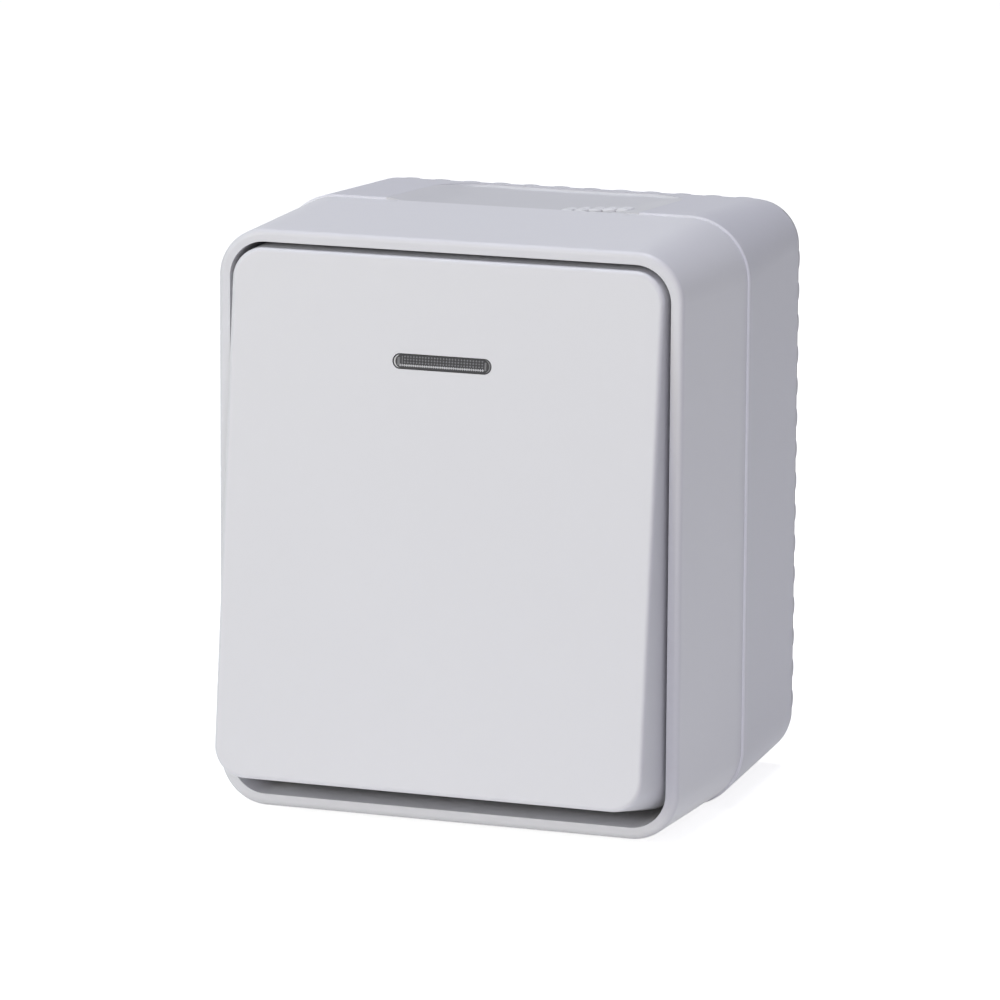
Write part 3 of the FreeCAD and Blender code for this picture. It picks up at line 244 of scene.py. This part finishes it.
def paint_front_edge_highlight(material, forward, ease, full_height, ends_share, colour):
    """A painted highlight: a paler front edge in place of light that the frame keeps off it, weaker along the
    top and the bottom.
    """
    tree = material.node_tree
    base = tree.nodes["Principled BSDF"].inputs["Base Color"]
    body_colour = base.links[0].from_socket
    place = add(tree, "ShaderNodeTexCoord", (-900, 300))
    axes = add(tree, "ShaderNodeSeparateXYZ", (-700, 300))
    tree.links.new(place.outputs["Object"], axes.inputs[0])
    edge = add(tree, "ShaderNodeMapRange", (-500, 300))
    edge.inputs["From Min"].default_value = -forward * MM
    edge.inputs["From Max"].default_value = -(forward + ease) * MM
    tree.links.new(axes.outputs["Y"], edge.inputs["Value"])
    level = add(tree, "ShaderNodeMath", (-500, 600), operation="ABSOLUTE")
    tree.links.new(axes.outputs["Z"], level.inputs[0])
    side = add(tree, "ShaderNodeMapRange", (-300, 600))
    side.inputs["From Min"].default_value = SEAM_HALF_HEIGHT * MM
    side.inputs["From Max"].default_value = full_height * MM
    side.inputs["To Min"].default_value = ends_share
    tree.links.new(level.outputs[0], side.inputs["Value"])
    both = add(tree, "ShaderNodeMath", (-300, 450), operation="MULTIPLY")
    tree.links.new(edge.outputs["Result"], both.inputs[0])
    tree.links.new(side.outputs["Result"], both.inputs[1])
    tone = add(tree, "ShaderNodeMix", (-250, 300), data_type="RGBA")
    tone.inputs["B"].default_value = (*colour, 1)
    tree.links.new(both.outputs[0], tone.inputs["Factor"])
    tree.links.new(body_colour, tone.inputs["A"])
    tree.links.new(tone.outputs["Result"], base)


satin_coat = {"Coat Weight": 0.05, "Coat Roughness": 0.3}
case_white = moulded(
    "case_white", (0.775, 0.775, 0.80), 1.5, satin_coat,
    Cloud_Shade=0.02, Cloud_Scale=35, Grain_Scale=4500, Roughness=0.42, Roughness_Spread=0.08)
base_white = moulded(
    "base_white", (0.645, 0.645, 0.69), 1.5, satin_coat,
    Cloud_Shade=0.02, Cloud_Scale=35, Grain_Scale=4500, Roughness=0.45, Roughness_Spread=0.08)
# Painted highlight: the base's front edge at the seam is made paler than the base
paint_front_edge_highlight(
    base_white, forward=31.62, ease=0.08, full_height=44.5, ends_share=0.4, colour=(0.88, 0.88, 0.92))
soft_grey = moulded(
    "soft_grey", (0.71, 0.71, 0.722), 4, {"Sheen Weight": 0.1},
    Cloud_Shade=0.06, Cloud_Scale=90, Grain_Scale=3500, Roughness=0.6, Roughness_Spread=0.15)
# Paler than soft_grey: a painted highlight on the raised marks, whose relief is real
relief_highlight_grey = moulded(
    "relief_highlight_grey", (0.78, 0.78, 0.79), 3, {"Sheen Weight": 0.1},
    Cloud_Shade=0.06, Cloud_Scale=300, Grain_Scale=3500, Roughness=0.5, Roughness_Spread=0.15)
mechanism_grey = moulded(
    "mechanism_grey", (0.42, 0.43, 0.45), 3,
    Cloud_Shade=0.12, Cloud_Scale=120, Grain_Scale=2500, Roughness=0.5, Roughness_Spread=0.2)
cradle_natural = moulded(
    "cradle_natural", (0.62, 0.62, 0.60), 2, {"Subsurface Weight": 0.05},
    Cloud_Shade=0.08, Cloud_Scale=100, Grain_Scale=3000, Roughness=0.35, Roughness_Spread=0.1)
window_smoke = moulded(
    "window_smoke", (0.085, 0.085, 0.09), 1, {"Specular IOR Level": 0.12},
    Cloud_Shade=0.25, Cloud_Scale=600, Grain_Scale=5000, Roughness=0.35, Roughness_Spread=0.1)
# Mid grey: painted glints on the window's studs, bars and right arc
window_dim_highlight = moulded(
    "window_dim_highlight", (0.27, 0.27, 0.28), 1, {"Specular IOR Level": 0.2},
    Cloud_Shade=0.4, Cloud_Scale=900, Grain_Scale=5000, Roughness=0.35, Roughness_Spread=0.1)
# Pale grey: painted glints on the window's left crescent and beaded lower edge
window_bright_highlight = moulded(
    "window_bright_highlight", (0.74, 0.74, 0.75), 1, {"Specular IOR Level": 0.4},
    Cloud_Shade=0.4, Cloud_Scale=700, Grain_Scale=5000, Roughness=0.25, Roughness_Spread=0.1)
zinc_steel = metal(
    "zinc_steel", (0.66, 0.66, 0.68), 2,
    Patch_Scale=700, Shade=0.25, Roughness=0.34, Roughness_Spread=0.2)
spring_wire = metal(
    "spring_wire", (0.5, 0.5, 0.52), 1,
    Patch_Scale=900, Shade=0.15, Roughness=0.22, Roughness_Spread=0.15)
terminal_brass = metal(
    "terminal_brass", (0.73, 0.56, 0.27), 2,
    Patch_Scale=400, Shade=0.2, Roughness=0.3, Roughness_Spread=0.2)
contact_silver = metal(
    "contact_silver", (0.82, 0.81, 0.79), 1,
    Patch_Scale=800, Shade=0.12, Roughness=0.25, Roughness_Spread=0.15)
lamp_glass = moulded(
    "lamp_glass", (0.95, 0.88, 0.78), 0.5, {"Transmission Weight": 0.9, "IOR": 1.5},
    Cloud_Shade=0.05, Cloud_Scale=300, Grain_Scale=2000, Roughness=0.08, Roughness_Spread=0.04)

node_finishes = {
    case_white: ("front_frame", "rocker_plate"),
    base_white: ("rear_base",),
    mechanism_grey: ("mechanism_housing", "mechanism_cover", "lamp_holder"),
    cradle_natural: ("rocker_cradle", "plunger"),
    zinc_steel: ("frame_screws", "mechanism_screws", "cover_screws", "terminal_screws", "support_plate"),
    terminal_brass: ("common_terminal", "upper_terminal", "lower_terminal", "contact_bridge"),
    contact_silver: ("fixed_contacts", "moving_contacts"),
    spring_wire: ("lamp_leads",),
    lamp_glass: ("indicator_lamp",),
    window_smoke: ("indicator_lens",),
}
for material, names in node_finishes.items():
    for name in names:
        node = frame["nodes"][name]
        if not node.material_slots:
            node.data.materials.append(material)
        for material_slot in node.material_slots:
            material_slot.material = material


# Mesh helpers
def new_piece(name, mesh, material, body, smooth=True):
    piece = bpy.data.objects.new(name, mesh)
    bpy.context.scene.collection.objects.link(piece)
    mesh.materials.clear()
    mesh.materials.append(material)
    mesh.polygons.foreach_set("use_smooth", [smooth] * len(mesh.polygons))
    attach(piece, body)
    return piece


def mesh_from(name, points, faces):
    mesh = bpy.data.meshes.new(name)
    mesh.from_pydata(points, [], faces)
    shape = bmesh.new()
    shape.from_mesh(mesh)
    bmesh.ops.recalc_face_normals(shape, faces=shape.faces)
    shape.to_mesh(mesh)
    shape.free()
    return mesh


def rounded_outline(width, height, corner, arc_steps=16, run_steps=8):
    """Points round a rectangle with round corners, each with its outward direction."""
    reach_x, reach_z = width / 2 - corner, height / 2 - corner
    centres = [(reach_x, reach_z), (-reach_x, reach_z), (-reach_x, -reach_z), (reach_x, -reach_z)]
    outline = []
    for quarter, (x, z) in enumerate(centres):
        for step in range(arc_steps + 1):
            turn = math.pi / 2 * (quarter + step / arc_steps)
            away = Vector((math.cos(turn), math.sin(turn)))
            outline.append((Vector((x, z)) + away * corner, away))
        following = Vector(centres[(quarter + 1) % 4])
        last, away = outline[-1]
        run = following + away * corner - last
        outline.extend((last + run * step / run_steps, away) for step in range(1, run_steps))
    return outline


def swept_ring(name, outline, section):
    """A closed band: the section's (inset, forward) points carried round the outline."""
    points, faces = [], []
    count = len(section)
    for place, away in outline:
        for inset, forward in section:
            spot = place - away * inset
            points.append((spot.x * MM, -forward * MM, spot.y * MM))
    for i in range(len(outline)):
        here, there = i * count, (i + 1) % len(outline) * count
        for j in range(count):
            following = (j + 1) % count
            faces.append((here + j, here + following, there + following, there + j))
    return mesh_from(name, points, faces)


def plain_mesh(piece):
    """Turn what the piece's modifiers make into its own mesh."""
    evaluated = piece.evaluated_get(bpy.context.evaluated_depsgraph_get())
    mesh = bpy.data.meshes.new_from_object(evaluated)
    piece.modifiers.clear()
    piece.data = mesh


# Geometry trees for the rows of small repeated shapes
def new_geometry_tree(name, inputs):
    tree = bpy.data.node_groups.new(name, "GeometryNodeTree")
    kinds = {"geometry": "NodeSocketGeometry", "number": "NodeSocketFloat", "whole": "NodeSocketInt",
             "vector": "NodeSocketVector", "material": "NodeSocketMaterial"}
    identifiers = {}
    for label, kind in inputs:
        socket = tree.interface.new_socket(label, in_out="INPUT", socket_type=kinds[kind])
        identifiers[label] = socket.identifier
    tree.interface.new_socket("Geometry", in_out="OUTPUT", socket_type="NodeSocketGeometry")
    return tree, add(tree, "NodeGroupInput", (-900, 0)), add(tree, "NodeGroupOutput", (900, 0)), identifiers


def run_tree(name, mesh, tree, identifiers, values):
    """The mesh that the geometry tree makes of the given mesh and values."""
    maker = bpy.data.objects.new(f"{name}_maker", mesh)
    bpy.context.scene.collection.objects.link(maker)
    modifier = maker.modifiers.new("rows", "NODES")
    modifier.node_group = tree
    for label, value in values.items():
        modifier[identifiers[label]] = value
    plain_mesh(maker)
    made = maker.data
    bpy.data.objects.remove(maker)
    return made


def path_bumps_tree():
    """Flattened beads at even steps along each path, turned with it."""
    tree, given, made, identifiers = new_geometry_tree(
        "path_bumps", [("Paths", "geometry"), ("Pitch", "number"), ("Half Sizes", "vector"),
                       ("Material", "material")])
    link = tree.links.new
    curve = add(tree, "GeometryNodeMeshToCurve", (-700, 0))
    link(given.outputs["Paths"], curve.inputs["Mesh"])
    spaced = add(tree, "GeometryNodeResampleCurve", (-500, 0), mode="LENGTH")
    link(curve.outputs["Curve"], spaced.inputs["Curve"])
    link(given.outputs["Pitch"], spaced.inputs["Length"])
    bead = add(tree, "GeometryNodeMeshIcoSphere", (-500, -300))
    bead.inputs["Radius"].default_value = 1
    bead.inputs["Subdivisions"].default_value = 3
    tangent = add(tree, "GeometryNodeInputTangent", (-500, -500))
    turned = add(tree, "FunctionNodeAlignRotationToVector", (-300, -400), axis="X")
    link(tangent.outputs["Tangent"], turned.inputs["Vector"])
    rows = add(tree, "GeometryNodeInstanceOnPoints", (0, 0))
    link(spaced.outputs["Curve"], rows.inputs["Points"])
    link(bead.outputs["Mesh"], rows.inputs["Instance"])
    link(turned.outputs["Rotation"], rows.inputs["Rotation"])
    link(given.outputs["Half Sizes"], rows.inputs["Scale"])
    solid = add(tree, "GeometryNodeRealizeInstances", (200, 0))
    link(rows.outputs["Instances"], solid.inputs["Geometry"])
    smooth = add(tree, "GeometryNodeSetShadeSmooth", (400, 0))
    link(solid.outputs["Geometry"], smooth.inputs["Geometry"])
    painted = add(tree, "GeometryNodeSetMaterial", (600, 0))
    link(smooth.outputs["Geometry"], painted.inputs["Geometry"])
    link(given.outputs["Material"], painted.inputs["Material"])
    link(painted.outputs["Geometry"], made.inputs["Geometry"])
    return tree, identifiers


def stud_field_tree():
    """Even rows of low pyramids on a flat field."""
    tree, given, made, identifiers = new_geometry_tree(
        "stud_field", [("Geometry", "geometry"), ("Columns", "whole"), ("Rows", "whole"), ("Pitch", "vector"),
                       ("Stud Radius", "number"), ("Stud Height", "number"), ("Material", "material")])
    link = tree.links.new
    pitch = add(tree, "ShaderNodeSeparateXYZ", (-700, 300))
    link(given.outputs["Pitch"], pitch.inputs[0])
    sizes = []
    for axis, label in ((0, "Columns"), (1, "Rows")):
        steps = add(tree, "ShaderNodeMath", (-500, 300 - 150 * axis), operation="SUBTRACT")
        steps.inputs[1].default_value = 1
        link(given.outputs[label], steps.inputs[0])
        size = add(tree, "ShaderNodeMath", (-300, 300 - 150 * axis), operation="MULTIPLY")
        link(steps.outputs[0], size.inputs[0])
        link(pitch.outputs[axis], size.inputs[1])
        sizes.append(size)
    field = add(tree, "GeometryNodeMeshGrid", (-100, 300))
    link(sizes[0].outputs[0], field.inputs["Size X"])
    link(sizes[1].outputs[0], field.inputs["Size Y"])
    link(given.outputs["Columns"], field.inputs["Vertices X"])
    link(given.outputs["Rows"], field.inputs["Vertices Y"])
    stud = add(tree, "GeometryNodeMeshCone", (300, -300))
    stud.inputs["Vertices"].default_value = 4
    link(given.outputs["Stud Radius"], stud.inputs["Radius Bottom"])
    link(given.outputs["Stud Height"], stud.inputs["Depth"])
    rows = add(tree, "GeometryNodeInstanceOnPoints", (500, 100))
    link(field.outputs["Mesh"], rows.inputs["Points"])
    link(stud.outputs["Mesh"], rows.inputs["Instance"])
    solid = add(tree, "GeometryNodeRealizeInstances", (650, 100))
    link(rows.outputs["Instances"], solid.inputs["Geometry"])
    painted = add(tree, "GeometryNodeSetMaterial", (780, 100))
    link(solid.outputs["Geometry"], painted.inputs["Geometry"])
    link(given.outputs["Material"], painted.inputs["Material"])
    link(painted.outputs["Geometry"], made.inputs["Geometry"])
    return tree, identifiers


bead_tree = path_bumps_tree()


# Soft lip on the wall and its bumps
def make_wall_lip():
    outline = rounded_outline(REAR_WIDTH, REAR_HEIGHT, REAR_CORNER)
    edge, edge_steps = 0.25, 3
    inner, front = LIP_WIDTH - edge, LIP_THICKNESS - edge
    section = []
    corners = ((edge, edge, 270), (inner, edge, 180), (inner, front, 90), (edge, front, 0))
    for inset, forward, start in corners:
        for step in range(edge_steps + 1):
            turn = math.radians(start - step * 90 / edge_steps)
            section.append((inset - math.cos(turn) * edge, forward + math.sin(turn) * edge))
    lip = new_piece("wall_lip", swept_ring("wall_lip", outline, section), soft_grey, "case")
    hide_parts("wall_seal")

    sunk, end_room = 0.12, 1.3
    middle = -LIP_THICKNESS / 2
    points, edges = [], []
    for across, along, upright in ((REAR_WIDTH, REAR_HEIGHT, True), (REAR_HEIGHT, REAR_WIDTH, False)):
        steps = int((along - REAR_CORNER * 2 - end_room * 2) // BUMP_PITCH)
        half_run = BUMP_PITCH * steps / 2
        for side in (-1, 1):
            level = side * (across / 2 - sunk)
            for end in (-half_run, half_run):
                spot = (level, middle, end) if upright else (end, middle, level)
                points.append([value * MM for value in spot])
            edges.append((len(points) - 2, len(points) - 1))
    paths = bpy.data.meshes.new("bump_paths")
    paths.from_pydata(points, edges, [])
    tree, identifiers = bead_tree
    half_length, half_width, reach = 1.6, 0.62, BUMP_PROUD + sunk
    mesh = run_tree("lip_bumps", paths, tree, identifiers, {
        "Pitch": BUMP_PITCH * MM, "Half Sizes": (half_length * MM, half_width * MM, reach * MM),
        "Material": soft_grey})
    new_piece("lip_bumps", mesh, soft_grey, "case")


# Soft cable entry: a scooped panel with a thin middle, moulded into the top of the base
def make_cable_entry():
    top_rise = (SEAM_HALF_HEIGHT - REAR_HEIGHT / 2) / SEAM_FORWARD
    corner_forward = ENTRY_REAR + ENTRY_CORNER
    step_depth, crisp_step, soft_step, crisp_run = 0.35, 0.35, 7.0, 1.0
    rear_sag, front_sag, middle_sag = 0.25, 1.0, 0.4
    frame_width, thin_wall, thin_ease = 5.0, 1.2, 0.8

    def half_width(forward):
        back = ENTRY_CORNER - (forward - ENTRY_REAR)
        if back <= 0:
            return ENTRY_HALF_WIDTH
        return ENTRY_HALF_WIDTH - ENTRY_CORNER + math.sqrt(max(ENTRY_CORNER ** 2 - back ** 2, 0))

    def from_edge(x, forward):
        """Distance from the U-shaped edge of the panel."""
        corner_x = ENTRY_HALF_WIDTH - ENTRY_CORNER
        if abs(x) > corner_x and forward < corner_forward:
            return ENTRY_CORNER - math.hypot(abs(x) - corner_x, corner_forward - forward)
        return min(ENTRY_HALF_WIDTH - abs(x), forward - ENTRY_REAR)

    def eased(value):
        value = min(max(value, 0), 1)
        return value * value * (3 - 2 * value)

    def top(x, forward):
        level = REAR_HEIGHT / 2 + top_rise * forward
        share = (forward - ENTRY_REAR) / (SEAM_FORWARD - ENTRY_REAR)
        deepest = rear_sag + (front_sag - rear_sag) * share + middle_sag * math.sin(math.pi * share)
        sag = deepest * (1 - (x / ENTRY_HALF_WIDTH) ** 2)
        softness = eased((forward - ENTRY_REAR - crisp_run) / ENTRY_CORNER)
        step_width = crisp_step + (soft_step - crisp_step) * softness
        return level - step_depth * eased(from_edge(x, forward) / step_width) - sag

    def bottom(x, forward):
        level = REBATE_TOP if forward > REBATE_FORWARD else ENTRY_BOTTOM
        room = min(from_edge(x, forward), REBATE_FORWARD - frame_width / 2 - forward + frame_width)
        thin = top(x, forward) - thin_wall
        return level + max(thin - level, 0) * eased((room - frame_width) / thin_ease)

    # Rows of points from the rear edge to the seam, closest at the rear edge and at the rebate
    columns, clearance, rebate_gap = 160, 0.02, 0.01
    corner_rows, panel_rows, panel_pitch, front_rows, front_pitch = 12, 56, 0.3, 7, 0.4
    first = ENTRY_REAR + clearance
    forwards = [first + ENTRY_CORNER * (i / corner_rows) ** 2 for i in range(corner_rows + 1)]
    forwards += [corner_forward + panel_pitch * i for i in range(1, panel_rows + 1)]
    forwards += [REBATE_FORWARD - rebate_gap, REBATE_FORWARD + rebate_gap]
    forwards += [REBATE_FORWARD + front_pitch * i for i in range(1, front_rows + 1)]
    forwards.append(SEAM_FORWARD - clearance)
    forwards.sort()
    points, faces = [], []
    for surface in (top, bottom):
        for forward in forwards:
            reach = half_width(forward) - clearance
            for i in range(columns + 1):
                x = reach * (2 * i / columns - 1)
                points.append((x * MM, -forward * MM, surface(x, forward) * MM))
    row, layer = columns + 1, (columns + 1) * len(forwards)
    for j in range(len(forwards) - 1):
        for i in range(columns):
            corner = j * row + i
            faces.append((corner, corner + 1, corner + row + 1, corner + row))
            faces.append(tuple(layer + corner + offset for offset in (0, row, row + 1, 1)))
    border = list(range(row))
    border += [j * row + columns for j in range(1, len(forwards))]
    border += [(len(forwards) - 1) * row + i for i in range(columns - 1, -1, -1)]
    border += [j * row for j in range(len(forwards) - 2, 0, -1)]
    for here, there in zip(border, border[1:] + border[:1]):
        faces.append((here, there, there + layer, here + layer))
    mesh = mesh_from("cable_entry", points, faces)
    entry = new_piece("cable_entry", mesh, soft_grey, "case")
    mesh.set_sharp_from_angle(angle=math.radians(50))
    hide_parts("cable_entry_membrane")

    # The marks take the paler material, which paints in their highlights
    mark_rows, mark_ends, mark_raise = (24.7, 22.4), (6.7, 15.8), 0.08
    ends = [Vector((x, -forward, top(x, forward) + mark_raise)) * MM
            for forward in mark_rows for x in mark_ends]
    paths = bpy.data.meshes.new("mark_paths")
    paths.from_pydata(ends, [(0, 1), (2, 3)], [])
    tree, identifiers = bead_tree
    mark_pitch, mark_half_sizes = 2.1, (1.15, 0.8, 0.45)
    mesh = run_tree("entry_marks", paths, tree, identifiers, {
        "Pitch": mark_pitch * MM, "Half Sizes": tuple(size * MM for size in mark_half_sizes),
        "Material": relief_highlight_grey})
    new_piece("entry_marks", mesh, relief_highlight_grey, "case")


# Inner soft pieces: the moulded form with its edges rounded off
def make_soft_copy(node_name, piece_name, voxel_size):
    mesh = frame["nodes"][node_name].data.copy()
    shape = bmesh.new()
    shape.from_mesh(mesh)
    bmesh.ops.remove_doubles(shape, verts=shape.verts, dist=1e-6)
    shape.to_mesh(mesh)
    shape.free()
    piece = new_piece(piece_name, mesh, soft_grey, "case")
    remesh = piece.modifiers.new("even", "REMESH")
    remesh.mode, remesh.voxel_size, remesh.use_smooth_shade = "VOXEL", voxel_size * MM, True
    smooth = piece.modifiers.new("round", "SMOOTH")
    smooth.factor, smooth.iterations = 0.5, 2
    plain_mesh(piece)
    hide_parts(node_name)


# Plunger spring: the coil, copied from the part and carried with the rocker
def make_spring():
    node = frame["nodes"]["plunger_spring"]
    mesh = node.data.copy()
    mesh.transform(node.matrix_world)
    spring = new_piece("spring_coil", mesh, spring_wire, "rocker")
    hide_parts("plunger_spring")
    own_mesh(spring)


# Fine relief on the window: even rows of studs, a beaded lower edge and bars and arcs at the ends, in paler
# materials that paint in their glints
def make_window_relief():
    tree, identifiers = stud_field_tree()
    upright = Matrix.Rotation(math.pi / 2, 4, "X")
    # Name, columns, rows, pitches, stud's radius and height, centre from the window's middle, material
    fields = (("window_studs", 27, 3, (0.48, 0.435), 0.17, 0.07, (0.22, 0.305), window_dim_highlight),
              ("window_edge_beads", 38, 1, (0.36, 0.3), 0.21, 0.09, (-0.1, -0.6), window_bright_highlight))
    for name, columns, rows, pitch, radius, height, centre, material in fields:
        mesh = run_tree(name, bpy.data.meshes.new(name), tree, identifiers, {
            "Columns": columns, "Rows": rows, "Pitch": (pitch[0] * MM, pitch[1] * MM, 0),
            "Stud Radius": radius * MM, "Stud Height": height * MM, "Material": material})
        place = Matrix.Translation(Vector((centre[0], -WINDOW_FRONT, WINDOW_Z + centre[1])) * MM)
        mesh.transform(rocker_place @ place @ upright)
        new_piece(name, mesh, material, "rocker", smooth=False)

    def crescent(side, reach, thick, start, end):
        """Between an outer arc about the window's round end and an inner one moved in from it."""
        centre, steps = side * WINDOW_END_CENTRE, 24
        turns = [math.radians(start + (end - start) * i / steps) for i in range(steps + 1)]
        outer = [(centre + side * reach * math.cos(turn), reach * math.sin(turn)) for turn in turns]
        inner = [(centre + side * (reach - thick * math.cos(turn)) * math.cos(turn),
                  (reach - thick * math.cos(turn)) * math.sin(turn)) for turn in reversed(turns[1:-1])]
        return outer + inner

    def bar(centre, half_width, half_height):
        corners = ((-1, -1), (1, -1), (1, 1), (-1, 1))
        return [(centre + x * half_width, z * half_height) for x, z in corners]

    left_arc = crescent(side=-1, reach=1.0, thick=0.24, start=-88, end=80)
    right_arc = crescent(side=1, reach=1.02, thick=0.2, start=-80, end=80)
    bars = (bar(-7.0, 0.2, 0.6), bar(-6.43, 0.06, 0.8), bar(7.0, 0.14, 0.62))
    flats = (("window_crescent", window_bright_highlight, (left_arc,)), ("window_bars", window_dim_highlight, (*bars, right_arc)))
    thickness = 0.05
    for name, material, shapes in flats:
        points, faces = [], []
        for shape in shapes:
            first, count = len(points), len(shape)
            for lift in (-thickness, thickness):
                points += [Vector((x, -WINDOW_FRONT - lift, WINDOW_Z + z)) * MM for x, z in shape]
            faces += [tuple(range(first, first + count)), tuple(range(first + count, first + count * 2))]
            for i in range(count):
                following = (i + 1) % count
                faces.append((first + i, first + following, first + count + following, first + count + i))
        mesh = mesh_from(name, points, faces)
        mesh.transform(rocker_place)
        new_piece(name, mesh, material, "rocker", smooth=False)


make_wall_lip()
make_cable_entry()
make_soft_copy("rocker_seal", "rocker_boot", voxel_size=0.35)
make_soft_copy("cover_seal", "case_gasket", voxel_size=0.3)
make_spring()
make_window_relief()


# Floor, lamps and surroundings
def seen_directly(tree):
    """One for rays from the camera, off mirrors or through glass, and nothing for the light itself."""
    rays = add(tree, "ShaderNodeLightPath", (-600, 400))
    seen = add(tree, "ShaderNodeMath", (-400, 400), operation="MAXIMUM")
    tree.links.new(rays.outputs["Is Camera Ray"], seen.inputs[0])
    tree.links.new(rays.outputs["Is Glossy Ray"], seen.inputs[1])
    through = add(tree, "ShaderNodeMath", (-200, 400), operation="MAXIMUM")
    tree.links.new(seen.outputs[0], through.inputs[0])
    tree.links.new(rays.outputs["Is Transmission Ray"], through.inputs[1])
    return through.outputs[0]


def make_floor():
    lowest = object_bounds()[0].z
    reach = 3.0
    corners = ((-reach, -reach), (reach, -reach), (reach, reach), (-reach, reach))
    mesh = bpy.data.meshes.new("floor")
    mesh.from_pydata([(x, y, lowest) for x, y in corners], [], [(0, 1, 2, 3)])
    floor = bpy.data.objects.new("floor", mesh)
    bpy.context.scene.collection.objects.link(floor)
    material = bpy.data.materials.new("floor_white")
    material.use_nodes = True
    tree = material.node_tree
    shader = tree.nodes["Principled BSDF"]
    shader.inputs["Base Color"].default_value = (0.88, 0.88, 0.88, 1)
    shader.inputs["Roughness"].default_value = 0.9
    shader.inputs["Emission Color"].default_value = (1, 1, 1, 1)
    # Brings the lit floor up to white where it is seen, and leaves the switch's shadow on it
    lift = add(tree, "ShaderNodeMath", (0, 400), operation="MULTIPLY")
    lift.inputs[1].default_value = 0.78
    tree.links.new(seen_directly(tree), lift.inputs[0])
    tree.links.new(lift.outputs[0], shader.inputs["Emission Strength"])
    mesh.materials.append(material)


def make_world():
    world = bpy.data.worlds.new("studio")
    bpy.context.scene.world = world
    world.use_nodes = True
    tree = world.node_tree
    ambient = tree.nodes["Background"]
    ambient.inputs["Color"].default_value = (0.88, 0.90, 1.0, 1)
    ambient.inputs["Strength"].default_value = 0.06
    white = add(tree, "ShaderNodeBackground", (0, -200))
    white.inputs["Strength"].default_value = 1
    mix = add(tree, "ShaderNodeMixShader", (200, 0))
    tree.links.new(seen_directly(tree), mix.inputs[0])
    tree.links.new(ambient.outputs[0], mix.inputs[1])
    tree.links.new(white.outputs[0], mix.inputs[2])
    tree.links.new(mix.outputs[0], tree.nodes["World Output"].inputs["Surface"])


def make_lamp(name, azimuth, elevation, distance, size, power, colour):
    """A round soft lamp that faces the switch, its angles as those of a camera."""
    light = bpy.data.lights.new(name, "AREA")
    light.shape, light.size, light.energy, light.color = "DISK", size, power, colour
    lamp = bpy.data.objects.new(name, light)
    turn, rise = math.radians(azimuth), math.radians(elevation)
    away = Vector((math.sin(turn) * math.cos(rise), -math.cos(turn) * math.cos(rise), math.sin(rise)))
    lamp.location = Vector((0, -LIT_FORWARD * MM, 0)) + away * distance
    lamp.rotation_mode = "QUATERNION"
    lamp.rotation_quaternion = away.to_track_quat("Z", "Y")
    bpy.context.scene.collection.objects.link(lamp)


make_floor()
make_world()
make_lamp("left_softbox", -45, 14, 2.4, 1.0, 12.0, (0.85, 0.93, 1.0))
make_lamp("front_softbox", -25, 12, 2.4, 1.0, 11.2, (1.0, 0.96, 0.72))
make_lamp("right_softbox", 25, 12, 2.4, 1.0, 10.5, (0.93, 0.875, 1.0))
make_lamp("overhead_softbox", 0, 86, 1.1, 0.8, 7.3, (0.88, 0.895, 1.0))
bpy.context.scene.view_settings.view_transform = "Standard"
